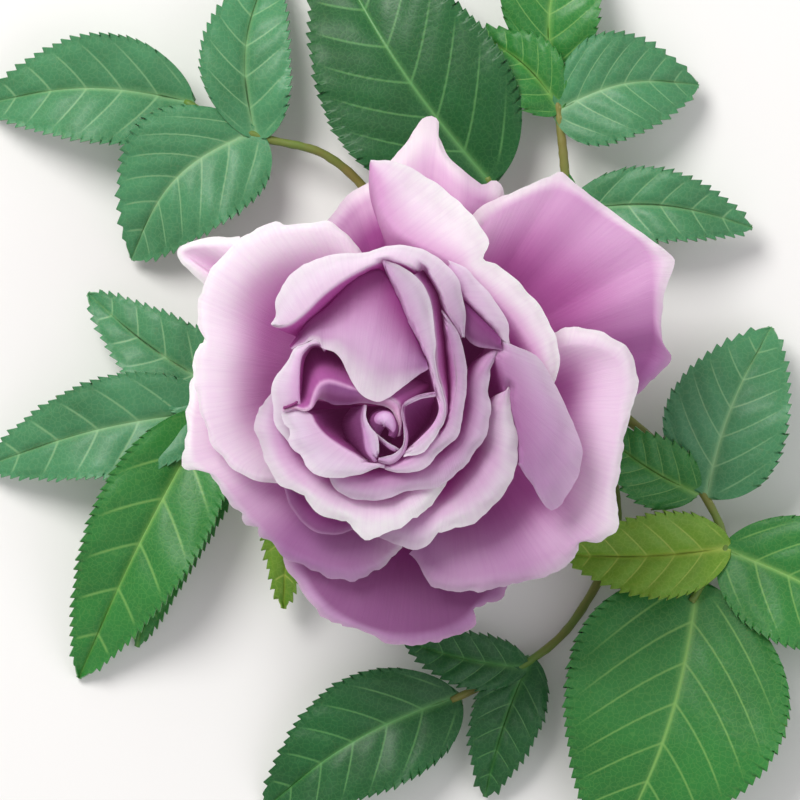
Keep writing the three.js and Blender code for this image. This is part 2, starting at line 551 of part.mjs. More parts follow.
function compoundLeaf({ rachis, leaflets }) {
  const stalk = tubeSolid(rachis, RACHIS_RADIUS * 1.25, RACHIS_RADIUS * 0.8, RACHIS_SIDES, RACHIS_STEPS);
  const blades = leaflets.map((leaflet) => toManifold(sheetSolid(leafletGrid(leaflet), LEAF_THICKNESS)));
  return blades.reduce((leaf, blade) => leaf.add(blade), toManifold(stalk));
}

// The hip below the petals, a small urn with a flat mouth, grown by a margin on every side
function hipSolid(margin = 0) {
  const profile = [
    [STEM_NECK, -HIP_HEIGHT],
    [0.75 * HIP_RADIUS, -0.85 * HIP_HEIGHT],
    [HIP_RADIUS, -0.5 * HIP_HEIGHT],
    [0.9 * HIP_RADIUS, -HIP_WAIST * HIP_HEIGHT],
    [HIP_MOUTH, -0.12 * HIP_HEIGHT],
    [1.25 * HIP_MOUTH, 0],
  ];
  const points = profile.map(([radius, height]) => new THREE.Vector2(radius + margin, height));
  points[0].y -= margin;
  points[points.length - 1].y += margin;
  points.unshift(new THREE.Vector2(0, points[0].y));
  points.push(new THREE.Vector2(0, points[points.length - 1].y));
  const lathe = new THREE.LatheGeometry(points, STEM_SIDES);
  lathe.deleteAttribute("normal");
  lathe.deleteAttribute("uv");
  lathe.rotateX(Math.PI / 2);
  lathe.translate(FOOT.x, FOOT.y, FOOT.z - GAP);
  const merged = BufferGeometryUtils.mergeVertices(lathe, 1e-3);
  const index = [];
  for (let i = 0; i < merged.index.count; i += 3) {
    const [a, b, c] = [0, 1, 2].map((k) => merged.index.getX(i + k));
    if (a !== b && b !== c && a !== c) index.push(a, b, c);
  }
  return outwardGeometry(Array.from(merged.attributes.position.array), index);
}

// One sepal: it leaves the hip's neck, spreads under the petals and droops to its tip
function sepalGrid(number) {
  const angle = SEPAL.turn + (2 * Math.PI * number) / SEPAL.count;
  const out = new THREE.Vector3(Math.cos(angle), Math.sin(angle), 0);
  const side = new THREE.Vector3(-out.y, out.x, 0);
  const start = FOOT.clone().addScaledVector(out, SEPAL.start).addScaledVector(UP, -HIP_WAIST * HIP_HEIGHT);
  return [...Array(SEPAL.rows + 1)].map((_, i) => {
    const t = i / SEPAL.rows;
    const middle = start.clone()
      .addScaledVector(out, SEPAL.length * t)
      .addScaledVector(UP, SEPAL.hump * Math.sin(Math.PI * t * 0.6) - SEPAL.droop * t * t);
    const taper = Math.max((1 - t) ** 0.8, 0.06);
    const half = (SEPAL.width / 2) * taper * (0.55 + 0.45 * Math.min(1, t * 4));
    return [-1, 0, 1].map((across) => middle.clone()
      .addScaledVector(side, across * half)
      .addScaledVector(UP, Math.abs(across) * half * SEPAL.cup));
  });
}

const materials = Object.fromEntries(Object.entries(COLOURS).map(([name, colour]) => [
  name,
  new THREE.MeshStandardMaterial({ color: colour, roughness: 0.6, metalness: 0, name }),
]));

const rose = new THREE.Group();
rose.name = "shrub_rose";

function addNode(name, geometry, material) {
  const mesh = new THREE.Mesh(geometry, materials[material]);
  mesh.name = name;
  rose.add(mesh);
}

// Solids are added from the top down; each is trimmed clear of the ones already there
const keepOut = [];

function addTrimmed(name, solid, wider, material) {
  const piece = largestPiece(keepOut.reduce((left, other) => left.subtract(other), solid));
  addNode(name, piece, material);
  keepOut.push(wider.add(toManifold(piece)));
}

function addSheet(name, grid, thickness, material) {
  const wider = sheetSolid(widened(grid, GAP), thickness + 2 * GAP);
  addTrimmed(name, toManifold(sheetSolid(grid, thickness)), toManifold(wider), material);
}

// The column of packed claws that the innermost petals grow from, up to the wrapped tip
function coreSolid(margin) {
  const { foot, belly, bellyHeight, tip, sides } = CORE;
  const levels = [[0, foot], [bellyHeight, belly], [HEART_HEIGHT, tip]];
  const radii = levels.map(([height, radius]) => [axisAt(height), radius + margin]);
  radii[2][0].addScaledVector(UP, margin);
  return ringedSolid(radii, sides);
}

// The innermost petals are wrapped so tightly that they make one solid with their core
function addHeart() {
  const join = (thickness, margin) => HEART
    .map((name) => petalGrid(PETALS[name]))
    .map((grid) => toManifold(sheetSolid(margin ? widened(grid, margin) : grid, thickness)))
    .reduce((joined, sheet) => joined.add(sheet), toManifold(coreSolid(margin)));
  addTrimmed("bloom_heart", join(PETAL_THICKNESS, 0), join(PETAL_THICKNESS + 2 * GAP, GAP), "petal");
}

addTrimmed("hip", toManifold(hipSolid()), toManifold(hipSolid(GAP)), "calyx");
addHeart();
for (const [name, petal] of Object.entries(PETALS)) {
  if (!HEART.includes(name)) addSheet(`petal_${name}`, petalGrid(petal), PETAL_THICKNESS, "petal");
}
for (let number = 0; number < SEPAL.count; number += 1) {
  addSheet(`sepal_${number + 1}`, sepalGrid(number), SEPAL.thickness, "calyx");
}

const stem = tubeSolid(STEM_ROUTE, STEM_NECK, STEM_FOOT, STEM_SIDES, STEM_STEPS);
const roomyStem = tubeSolid(STEM_ROUTE, STEM_NECK + GAP, STEM_FOOT + GAP, STEM_SIDES, STEM_STEPS);
addTrimmed("stem", toManifold(stem), toManifold(roomyStem), "stem");
for (const [name, leaf] of Object.entries(LEAVES)) {
  const body = compoundLeaf(leaf);
  addTrimmed(name, body, body, "leaf");
}

// The shoot stands with the middle of its box over the origin and its lowest point on the floor
const box = new THREE.Box3().setFromObject(rose);
const centre = box.getCenter(new THREE.Vector3());
for (const mesh of rose.children) {
  mesh.geometry.translate(-centre.x, -centre.y, -box.min.z);
}

export default rose;
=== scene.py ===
"""A cut flowering shoot of a shrub rose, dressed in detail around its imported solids.

Shapes are worked out in millimetres: across from the heart of the bloom, and up from the petals' foot for
petals, hip and sepals or from the floor for stem and leaves. They turn into metres when a mesh is made.
"""

import math

import bpy
import numpy as np
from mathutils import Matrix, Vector


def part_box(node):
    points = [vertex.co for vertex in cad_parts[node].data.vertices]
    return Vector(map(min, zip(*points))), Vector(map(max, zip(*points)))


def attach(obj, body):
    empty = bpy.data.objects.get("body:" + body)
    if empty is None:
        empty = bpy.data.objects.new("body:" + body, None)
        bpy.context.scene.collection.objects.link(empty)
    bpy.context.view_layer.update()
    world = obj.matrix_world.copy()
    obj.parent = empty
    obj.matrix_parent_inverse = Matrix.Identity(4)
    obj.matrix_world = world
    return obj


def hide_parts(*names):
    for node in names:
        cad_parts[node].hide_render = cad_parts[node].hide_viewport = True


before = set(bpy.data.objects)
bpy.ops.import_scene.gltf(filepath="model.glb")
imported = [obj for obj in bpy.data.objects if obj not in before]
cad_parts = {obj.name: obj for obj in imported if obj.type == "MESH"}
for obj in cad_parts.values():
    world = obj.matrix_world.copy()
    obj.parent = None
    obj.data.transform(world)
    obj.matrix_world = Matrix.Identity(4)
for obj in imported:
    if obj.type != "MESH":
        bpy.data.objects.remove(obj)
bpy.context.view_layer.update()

MM = 0.001
UP = np.array([0.0, 0.0, 1.0])
FLAT = np.array([1.0, 1.0, 0.0])
NO_EDGES = np.zeros((0, 2), int)

# Where the petals grow from, seen from the heart of the bloom, and how far that is above the floor
FOOT = np.array([6.0, 7.0, 0.0])
LIFT = 31.0
HEART_HEIGHT = 38.0
HIP_GAP = 0.3  # between the petals' foot and the hip

# The solid of the hip stands under the petals' foot, so it says where the bloom is
hip_low, hip_high = (np.array(corner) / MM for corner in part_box("hip"))
HEART = np.append(((hip_low + hip_high) / 2 - FOOT)[:2], 0.0)
FLOOR = LIFT - HIP_GAP - hip_high[2]

# Lines and waves
CURVE_STEPS = 24  # between two points that a curve goes through
WAVE_COUNT = 7
WAVE_SPREAD = (0.7, 1.4)
WAVE_PEAK = 1.4
BLUR = (0.25, 0.5, 0.25)

# Petals
PETAL_THICKNESS = 0.42
RIM_THICKNESS = 0.16
PETAL_CLEARANCE = 0.3  # between two petals that touch
PETAL_SPREAD = 0.5  # half angle that a petal covers at its foot, in radians
RIM_TUCK = 0.12  # how far the rim turns down, as a slope
COLUMN_WIDTH = 0.75
FEWEST_COLUMNS = 26
MOST_COLUMNS = 150
WALL_ROWS = 24
LIP_ROWS = 18
LIP_CROWDING = 1.25  # above 1, the lip's rows crowd towards the crest
LIP_HANDLE = 0.4  # how long the lip keeps its way at crest and rim, as a share of its width
CREST_SHARE = 0.6  # where the crest lies between foot and rim, in the petal's own colours
SWELL = dict(depth=0.28, size=15)
RUFFLE = dict(depth=0.3, size=7, small=3.2, small_share=0.4)
FRILL = dict(size=5, small=1.9, small_share=0.6, seed=90)
EVENED_PASSES = 3
SINK_PASSES = 4
SOFT_WALL = 0.42  # up to this share of a petal, a place that is pressed down takes its surroundings along
NEST_CELL = 0.4
NEST_REACH = 75.0
OPEN_SKY = 1e3  # a height above everything

# The rolled tip at the heart. Each point of its hook has a place, a breadth and a drop below the crown.
KNOB = dict(
    depth=12, crown=39, centre=(-0.7, -0.6), flare=0.3, round_from=0.86, rows=40, columns=90,
    hook=[(-2.7, -1.9, 2.4, 2.6), (-2.3, -0.3, 3.3, 1.4), (-1.6, 0.9, 3.6, 0.4), (-0.5, 1.15, 3.5, 0),
        (0.6, 0.1, 2.7, 0.4), (1, -1.2, 2, 0.9), (0.6, -2.3, 1.4, 1.4)],
)

# The tightly rolled petals inside, seen only through gaps
CORE = dict(low=1, high=32, inner=0.8, outer=3.6, turns=2.6, taper=0.35, thickness=0.5)

# Hip, sepals and stem
HIP_HEIGHT = 15.0
HIP_RADIUS = 6.4
HIP_MOUTH = 5.4
HIP_WAIST = 0.22
HIP_RIPPLE = 0.01
HIP_SIDES = 60
SEPAL = dict(
    count=5, length=34, width=8, thickness=0.5, start=5.6, hump=3, droop=12, cup=0.25, turn=0.35, lobes=0.25,
    half_waves=9, rib=0.5, rib_sunk=0.25, ripple=0.3,
)
STEM_NECK = 2.3
STEM_FOOT = 3.2
STEM_SIDES = 40
STEM_RINGS = (0.3, 0.52, 0.7)  # swollen places, as shares of the stem's length

# Leaves
LEAF_THICKNESS = 0.35
LEAF_ROOT = 1.5
RACHIS_RADIUS = 0.95
RACHIS_SIDES = 12
LEAF_SHOULDER = 0.72
LEAF_FULLNESS = 0.75
TOOTH_PITCH = 1.9
TOOTH_DEPTH = 0.75
ROWS_A_TOOTH = 5
HALF_COLUMNS = np.array([0, 0.03, 0.07, 0.14, 0.22, 0.31, 0.4, 0.5, 0.6, 0.7, 0.79, 0.87, 0.93, 0.97, 1])
MIDRIB = dict(width=0.75, sunk=0.45, thick=0.7)
RIBS = dict(wide=7, narrow=6, wide_from=30, slant=0.75, curve=1.05)
TOOTHED = ((0.06, 0.16), (0.93, 0.99))  # where the teeth begin and end, as shares of the leaflet's length
TOOTH_SIZES = (0.7, 1.2)
LEAST_HALF = 0.45
BLADE_SWELL = 0.6
BLADE_WAVE = 0.015
WING = dict(start=3, length=13, width=2.9, tip=5, thickness=0.3)

# Each petal runs from a foot up a wall to a crest, and from there over a lip to its rim. The innermost petals
# have a root line for their foot. The others start from a claw, a height on the bloom's axis, at a distance
# foot from it. lean, rise, reach, hollow, bulge and drop bend the wall, roll and tuck bend the lip, and ease
# rounds the crest off. The blush is how dark the petal is painted from its first side to its last, beyond a
# row
# share: mostly painted shade where a side turns from the light or lies under its neighbours, partly the
# petal's own deeper tint. A notch has a place, a depth and a width, and over names the petals that this one
# lies on.
PLAIN = dict(bulge=1.2, drop=0, roll=1, tuck=RIM_TUCK, ease=0, over=(), blush=(0, 0), blush_from=0,
    frill=0.12, notches=())
MIDDLE = PLAIN | dict(foot=5.6, ease=1)
GUARD = PLAIN | dict(foot=6.2, claw=0, rise=4, hollow=0, tuck=0.35, ease=2)
PETALS = {}


def petal(name, kind, **shape):
    PETALS[name] = kind | shape


petal("wall_left", PLAIN, rise=6, bulge=0.3, drop=3, tint="heart",
    rim=[(-12.4, 15.5, 39.8), (-13.3, 16.6, 40.3), (-14.4, 17.2, 40.7), (-15.8, 16.9, 40.7),
        (-16.9, 16.2, 40.6), (-18.2, 15.8, 40.6), (-19.1, 15, 40.6), (-19.5, 13.6, 40.5),
        (-20.3, 12.2, 40.3), (-21.5, 10.8, 40), (-22.8, 9, 39.6), (-23.2, 7.4, 39.2), (-23.1, 3.5, 38.3),
        (-22.6, -0.2, 37.4), (-20.3, -3.2, 36.4), (-16, -7, 35)],
    crest=[(-12.7, 14.9, 40), (-13.5, 15.9, 40.5), (-14.4, 16.1, 41), (-15.4, 15.9, 41.3),
        (-16.5, 14.9, 41.4), (-17.2, 14, 41.4), (-17.6, 12.6, 41.3), (-17.9, 9.5, 40.8), (-17.9, 6, 40),
        (-17.4, 3, 38.9), (-16.6, 0, 37.6), (-13.5, -5, 36)],
    root=[(-12.7, 14.5, 24), (-13.7, 15.4, 24), (-15.2, 15.4, 24), (-16.1, 14.3, 24), (-16.8, 12.6, 24),
        (-17.2, 9.5, 24), (-17.2, 6, 24), (-16.6, 3, 24), (-15.8, 0, 24), (-12.7, -4.8, 24)])
petal("tongue_middle", PLAIN, rise=5, bulge=0.2, drop=1.5, over=("wall_left",), tint="tongue",
    blush=(0.55, 0.35, 0.2, 0.12, 0.1, 0.1, 0.25, 0.6, 0.95),
    rim=[(-19.1, 15, 39.7), (-18.2, 15.6, 39.8), (-16.9, 16, 39.9), (-15.7, 16.6, 40),
        (-14.5, 16.9, 40.5), (-13.3, 16.4, 41.2), (-13, 15.5, 41.3), (-11.6, 14.9, 41.2),
        (-10.4, 14.3, 41.1), (-9.5, 13.4, 41), (-8.1, 10.7, 40.8), (-7.3, 8.8, 40.5), (-5.6, 6.4, 40.2),
        (-3.8, 5.1, 40), (-1.3, 4.8, 39.8), (3, 7.6, 40.1), (6, 9.9, 40), (8.2, 11.2, 39.8)],
    crest=[(-19.5, 15.6, 37.2), (-17.7, 18, 36), (-15.8, 20.7, 35.8), (-12.4, 23.4, 36.2),
        (-9.5, 26.2, 37), (-5.5, 29.8, 38.2), (-1.5, 31.2, 38.8), (0.9, 27.4, 38.6), (4, 20.6, 38.2),
        (7.2, 13.4, 38.6)],
    root=[(-18.9, 15.7, 30), (-16.8, 17.6, 29), (-15, 20, 29), (-11.8, 22.7, 29), (-9, 25.2, 29),
        (-5, 28, 30), (-1.5, 29, 30), (0, 26.4, 30), (3, 20, 30), (6.2, 13.4, 30)])
petal("wrap_right", PLAIN, rise=4, drop=2.5, tint="deep",
    rim=[(9.5, 5.8, 38.9), (6.5, 5.3, 38.9), (4.2, 4.4, 39), (2.8, 3.3, 38.8), (3, 0, 38.6),
        (3.1, -3.2, 38.2), (1.2, -5.6, 37.5), (-1.8, -6.3, 37.4)],
    crest=[(9.5, 6.3, 39), (6.5, 5.8, 39.1), (4.5, 5, 39.3), (3.1, 3.9, 39.3), (3.3, 1, 39.2),
        (3.9, -2.5, 39), (3.2, -5.4, 38.9), (0.6, -7.7, 38.8), (-2, -7.2, 38.8)],
    root=[(8.8, 4.2, 28), (8.4, 1.6, 27), (6.2, -1.6, 27), (3.6, -4.4, 28.5), (1, -6.8, 30),
        (-2, -6.8, 32)])
# Its lip is darkened with painted shade, where it turns down away from the light.
petal("hood", PLAIN, rise=2.5, drop=1.5, over=("wall_left",), tint="hood",
    blush=(0, 0, 0.6, 1, 1, 0.8, 0.3, 0, 0), blush_from=0.6,
    rim=[(-20.8, 2.7, 39.7), (-18.7, 3.1, 40), (-16.7, 2.6, 40.1), (-15.2, 3.4, 40), (-13.9, 5.4, 39.2),
        (-12.4, 5.1, 38.6), (-11.2, 4.3, 38.2), (-9.6, 3.8, 38), (-7.5, 4.1, 38.1), (-4.4, 4.3, 38.5),
        (-2.1, 4, 38.5), (-0.6, 3.5, 38.4), (0.6, 2.7, 38.2), (1.3, 1.4, 37.8), (1.7, 0.1, 37.2),
        (1.8, -1.2, 36.3), (1.6, -2.3, 35.5)],
    crest=[(-21.1, 3, 39.8), (-18.8, 3.5, 40.2), (-16.7, 3, 40.5), (-15.5, 3.5, 40.8), (-14.5, 5.8, 41),
        (-13.3, 7.8, 41), (-12, 8.3, 41), (-10.5, 8.1, 40.9), (-7.6, 7.2, 40.5), (-5.5, 6.6, 40),
        (-2, 6, 39.5), (0.8, 5.2, 39.3), (2.3, 3.8, 39), (2.7, 1.5, 38.4), (2.7, -0.6, 37.6),
        (2.4, -2.2, 36.6)],
    root=[(-20.8, 3.4, 39.3), (-18.8, 4.1, 39.5), (-17.9, 4.9, 38.5), (-17.6, 7, 33), (-17.6, 10, 30.5),
        (-17.1, 13.2, 29.5), (-15.4, 15.7, 29), (-12.6, 15.4, 29), (-9.6, 13.6, 30), (-6.6, 11, 33),
        (-2.5, 9.8, 35), (2, 9.6, 35.5), (6, 9.2, 35.2), (8.6, 7.6, 34.8), (3.8, 5.2, 34), (3.4, 3, 33),
        (3.3, 0.5, 32), (3, -1.6, 31)])
petal("wrap_left", PLAIN, rise=4, drop=2.5, tint="deep",
    rim=[(-4.2, 4, 38.1), (-4.7, 2.2, 38.7), (-3.5, -0.5, 39), (-2.1, -2, 39), (-1.8, -4.5, 39),
        (-2, -6.7, 39)],
    crest=[(-4.7, 4, 38), (-5.1, 1.6, 38.3), (-4.6, -1.6, 38.6), (-3.9, -5.2, 38.6), (-2.4, -7.2, 38.6)],
    root=[(-7.4, 3.2, 27), (-9, 0.6, 27), (-8.2, -2.5, 27), (-6, -5.2, 28), (-3, -7.4, 30)])
petal("heart_fold", PLAIN, rise=3, bulge=0.2, drop=1, tint="deep",
    rim=[(-2.2, -1.8, 37), (-0.6, -2.9, 37), (0.9, -4, 36.8), (2.2, -4.7, 36.4)],
    crest=[(-2.3, -2.3, 36.8), (-0.9, -3.6, 36.7), (0.6, -4.7, 36.5), (1.9, -5.2, 36.2)],
    root=[(-2.4, -2.8, 30), (-1.1, -4, 30), (0.4, -5, 30), (1.7, -5.4, 30)])
petal("crescent_inner", PLAIN, claw=15, foot=3.6, lean=0.5, rise=5, reach=0, roll=0.6, hollow=1, drop=8,
    tint="heart", blush=(0.35, 0),
    rim=[(-1, 33, 44.5), (4.2, 30.9, 44.5), (8.2, 25.5, 44), (9.3, 17, 43.5), (9.8, 10.5, 42.6),
        (11.2, 5.6, 41.6), (11.6, 2.7, 41.1), (10.9, 0.2, 40.8), (9, -3, 40.2), (7.1, -5.3, 39.8),
        (5.2, -6.1, 39.5), (3.1, -6.5, 39.2)],
    crest=[(-0.8, 32.6, 45), (1, 27.5, 45.7), (3, 23, 45.5), (5.2, 19, 45.2), (6.9, 15.2, 44.6),
        (8.6, 11, 43.8), (9.7, 6.8, 43), (10.6, 3.4, 42.2), (10.2, 1.6, 41.9), (9, -0.3, 41.5),
        (5.5, -3.6, 40.5), (3.6, -5.2, 40)])
petal("crescent_back", PLAIN, rise=4, bulge=0.8, drop=1, tint="middle", blush=(0.6, 0.3, 0, 0, 0.3),
    rim=[(4.6, 29.4, 43.6), (7.5, 25.3, 43.2), (8.8, 17, 42.8), (9.3, 10.6, 41.9), (10.7, 5.6, 40.8),
        (11.1, 2.7, 40.2), (10.4, 0.2, 39.8)],
    crest=[(5, 29.8, 43.3), (8, 25.5, 42.9), (9.3, 17, 42.5), (9.9, 10.6, 41.6), (11.3, 5.6, 40.5),
        (11.7, 2.7, 39.9), (10.9, 0.1, 39.5)],
    root=[(7, 31, 34), (9.8, 26.2, 34), (11, 18, 34), (11.6, 11, 33.5), (11.9, 5.5, 33), (11.6, 2.4, 33),
        (10.8, -0.4, 33)])
petal("ring_inner", PLAIN, claw=15, foot=3.6, lean=0.8, rise=8, reach=3, roll=0.6, hollow=1,
    over=("wall_left",), tint="ring", blush=(0.2, 0.05, 0.15, 0.2), frill=0.35,
    rim=[(-0.7, -8.4, 37.3), (-2.8, -8.9, 37.8), (-6, -9.9, 38), (-11, -10.6, 37.8), (-15.6, -8.9, 37.6),
        (-17.5, -5.9, 37.8), (-18.7, -4.9, 37.9), (-19.7, -3.4, 38.1), (-19.8, -1.4, 38.4),
        (-21.3, 0.4, 38.7), (-21.5, 1.3, 38.9), (-21, 2.4, 39.1), (-19, 3, 39.4)],
    crest=[(-0.6, -7.9, 37.8), (-3.8, -7.4, 38.8), (-8, -5.5, 40), (-12.4, -2.5, 40.4), (-14, -0.8, 40.5),
        (-15, 0.8, 40.5), (-15.5, 2, 40.2), (-16.8, 2.9, 39.8)])
petal("crescent_outer", PLAIN, claw=15, foot=4.8, lean=0.6, rise=8, reach=3, roll=0.5, hollow=0.25,
    drop=1.5, tint="middle", blush=(0.6, 0.2),
    rim=[(9.3, 25.2, 42.5), (12.2, 21, 42.3), (14.6, 17, 41.8), (15.9, 10, 41), (14.9, 2, 40),
        (14.2, -1.8, 39.3), (12, -4, 38.9), (9.4, -6.6, 38.4), (7.3, -8.5, 38), (4.4, -9.5, 37.7),
        (2.3, -9.6, 37.5), (0.6, -9.2, 37.3), (-0.6, -8.8, 37.1)],
    crest=[(9, 24.9, 42.8), (10.8, 21.4, 42.8), (12, 18.4, 42.7), (13.2, 13.3, 42.3), (13.6, 8.5, 42),
        (12.9, 4, 41.5), (12, 1.6, 41), (9.6, -2.6, 40.5), (6.6, -5.6, 39.6), (3.6, -7.6, 38.8),
        (0.4, -8.3, 38), (-0.7, -8.1, 37.6)])
petal("arch", PLAIN, claw=13, foot=5.6, lean=0.9, rise=10, reach=1, roll=0.7, hollow=0.6, drop=3.5,
    tint="pale", blush=(0.12, 0.1, 0.6),
    rim=[(-23.3, 20.1, 41), (-22.5, 21.6, 41), (-22.5, 23.5, 41.1), (-22.2, 25.2, 41.2),
        (-18.6, 30.8, 41.8), (-12, 33.7, 42.5), (-5, 34.2, 43.5), (2, 35.8, 44.2), (9, 34, 44.2),
        (13.8, 29.3, 43.5), (15.4, 22.5, 42.5), (15.1, 17.4, 41.5)],
    crest=[(-23.1, 20, 41.2), (-22.2, 19.7, 41.6), (-20.7, 19.8, 42.2), (-19.2, 20.4, 42.8),
        (-16.6, 22.5, 43.6), (-13.5, 25.6, 44.6), (-11.2, 27.5, 45.2), (-6.5, 30.6, 46), (0, 33, 46.5),
        (5, 31.3, 46.2), (10, 26, 45), (15, 17.6, 42)])
petal("small_wall", MIDDLE, claw=11, lean=1.2, rise=8, reach=4, roll=0.5, hollow=0.8, tint="shade",
    blush=(0.8, 0.8),
    rim=[(14.8, 18.5, 39.5), (16.7, 16.3, 38.7), (23, 15, 38)],
    crest=[(15.2, 23.5, 40.5), (18, 20.5, 41), (22.5, 16.5, 39.5)])
petal("band_low", MIDDLE, claw=11, lean=1.1, rise=7, reach=5, roll=0.35, hollow=0.8, tint="middle",
    blush=(0.42, 0.42), frill=0.2,
    rim=[(21.8, 15.2, 36.5), (20.2, 9, 36.9), (20.5, 3, 36), (19.5, -2.5, 35.8), (15.5, -7.7, 35),
        (11, -11.7, 34.2), (4, -13.1, 34), (-3, -15.3, 33.7), (-9, -14.1, 34), (-12.5, -9.5, 35)],
    crest=[(21.5, 15, 37.5), (17.4, 8.5, 39), (16.9, 2, 38.8), (14.3, -4.7, 38), (8.5, -9, 37.2),
        (0, -11.3, 36.7), (-8, -11.3, 36.8), (-11.5, -9.5, 36.8)])
petal("ring_low_left", MIDDLE, claw=9, lean=1.6, rise=6, reach=6, roll=0.35, hollow=0.8, tint="lip",
    blush=(0.7, 0.5, 0.25, 0.08, 0.04, 0.1, 0.15), frill=0.35,
    notches=[(-8.3, -20.6, 0.9, 0.9), (-17.4, -14.4, 0.7, 0.8)],
    rim=[(-21, 8, 36), (-24.6, 5, 35.3), (-26.6, 1.3, 34.5), (-25.4, -5, 33.9), (-22, -11.3, 33),
        (-17.6, -14.1, 32.2), (-12.4, -18.4, 31.2), (-8, -20.6, 30.6), (-4.4, -22.8, 30),
        (3, -20.1, 30.5), (9, -15.8, 31.5), (14, -7, 32)],
    crest=[(-19.5, 7, 37.5), (-22.2, 1, 37.5), (-20.8, -7, 36.6), (-15.5, -12.4, 35.2), (-7, -16.5, 34),
        (1, -16.8, 33.8), (8, -12, 34.7), (11.5, -6, 35)])
petal("band_lower_right", MIDDLE, claw=7, lean=1.8, rise=6, reach=7, roll=0.4, hollow=0.6, tint="lip",
    blush=(0.35, 0.38, 0.42, 0.42, 0.25, 0.7, 0.9), frill=0.2, notches=[(10.2, -22.6, 1.1, 0.9)],
    rim=[(24.5, 8, 34), (24.3, 4, 33.4), (25.9, -2.5, 32.4), (25.5, -9.5, 31.3), (21.5, -15.8, 29.9),
        (16.5, -20.1, 29), (11.4, -21.4, 28.5), (6.4, -25.1, 27), (2, -24.2, 26.6), (-2, -22.8, 26.2),
        (-5, -20.5, 26)],
    crest=[(23.5, 7, 35), (21.5, 1, 35), (21.2, -7, 34.2), (16.5, -13.6, 32.6), (9, -18.5, 31),
        (-2, -19.5, 29)])
petal("tongue_right", MIDDLE, claw=9, lean=1.5, rise=7, reach=6, roll=0.6, hollow=0.6, tint="middle",
    blush=(0.2, 0.8), frill=0.15,
    rim=[(12, 32.9, 40), (15.4, 31.5, 40.5), (20.5, 25.8, 39.5), (24, 20, 38.4), (24.7, 15.6, 37.8),
        (29.5, 14, 36.2), (33.3, 8.5, 35), (38, -2, 33.5), (39, -5.8, 32.7), (36.8, -12.8, 31),
        (33, -17.2, 29.5), (28.8, -11.6, 31.1), (26.3, -8, 32)],
    crest=[(12.2, 32.3, 41), (14.8, 25, 42.5), (18.2, 19.6, 41.5), (22.8, 13, 39.8), (25.2, 5, 38.2),
        (25.7, -3, 35.6), (26, -8, 33)])
petal("small_fold", MIDDLE, claw=5, lean=2.2, rise=5, reach=8, roll=0.6, hollow=0.4, ease=2, tint="shade",
    blush=(0.85, 0.85),
    rim=[(-21, -12, 28), (-19.6, -16.5, 27), (-16, -20.6, 25.9), (-10, -22, 25), (-6, -20.8, 25)],
    crest=[(-19, -11, 29.5), (-17, -16, 28.8), (-13, -19, 27.8), (-9, -19.6, 27.2), (-6, -18.4, 27)])
petal("blade_right", MIDDLE, claw=5, lean=1.8, rise=7, reach=4, roll=0.7, hollow=0.4, drop=3,
    tint="blade", blush=(0.35, 0.25, 0.1, 0, 0, 0, 0, 0, 0), frill=0.15, notches=[(20.8, 34.6, 2.2, 1.8)],
    rim=[(-3.6, 53.2, 31), (-3, 53.2, 31.3), (0, 53, 31.8), (4.4, 51.6, 32.4), (8, 49.7, 33),
        (11.6, 47, 33.8), (16.5, 42.4, 34.6), (18.9, 39, 35.2), (20.8, 36.5, 35.5), (20.6, 34, 36),
        (24.8, 29.8, 34.6), (31, 23.3, 33.5), (34.2, 15, 32), (34.3, 11, 31), (31, 3, 28)],
    crest=[(-3.6, 52.8, 31.2), (-2.9, 50.4, 33), (-1.6, 46.5, 35.5), (-0.8, 43, 37), (1.9, 38.8, 38.5),
        (5.5, 36.4, 39.4), (12, 33, 40), (18.5, 27, 39), (25.5, 20.5, 36), (30.5, 11, 33.5), (29, 1, 29)])
petal("cheek_left", MIDDLE, claw=4, lean=2.4, rise=6, reach=12, roll=0.3, hollow=0.2, tuck=0.35, ease=2,
    tint="cheek", blush=(0, 0.05, 0.25), frill=0.2, notches=[(-37.4, 17, 1.6, 1.5)],
    rim=[(-3, 31, 28), (-5.2, 34.4, 29.5), (-8.6, 38.2, 30.8), (-11.8, 40.7, 31), (-16, 40.3, 31),
        (-20.8, 40.2, 31.2), (-22.1, 40.9, 31.2), (-27, 38.9, 31.4), (-33, 34, 31.8), (-36.6, 28.4, 32),
        (-38.2, 23, 31.8), (-37.8, 17.4, 31.6), (-38.8, 12, 30.9), (-37.9, 4, 30), (-35, -4.2, 28.8),
        (-28, -10.8, 28), (-20, -12, 26)],
    crest=[(-3, 29, 31), (-6.5, 34, 32.4), (-12, 38.4, 33), (-20, 38.2, 33.2), (-30, 34, 34),
        (-35, 26, 34.3), (-35.7, 13, 33.3), (-35.3, 0, 31.4), (-28.5, -8.5, 29.5), (-20, -9.5, 27)])
petal("guard_lower_right", GUARD, claw=1, lean=3, rise=5, reach=14, roll=0.45, hollow=0.1,
    tint="guard_pale", blush=(0, 0, 0.1, 0.15, 0.1, 0.5, 0.78, 0.74, 0.95), frill=0.3,
    notches=[(40, -24, 1.8, 1.3), (44.6, -22.8, 0.6, 1)],
    rim=[(30, 17, 24), (36, 19.4, 25), (44, 18.3, 24), (49, 14.2, 22), (50.2, 9, 22), (48, -1, 23.8),
        (46.2, -12, 24), (46, -20.6, 22.3), (43.3, -23.4, 21.5), (39.6, -24, 21.8), (36, -28.6, 20.3),
        (28, -31.6, 19.5), (16, -33.8, 18.5), (10.4, -33.3, 18.2), (9.1, -32.8, 18.1), (8.2, -31.2, 18),
        (4.3, -26, 17)],
    crest=[(30, 14, 26), (38, 16.2, 27), (46, 13, 25.2), (46, 2, 25.8), (43.3, -12, 25.8),
        (41, -20.8, 24.3), (33, -25.6, 23), (22, -29, 21.5), (12, -29.8, 20.7), (6.5, -23, 19)])
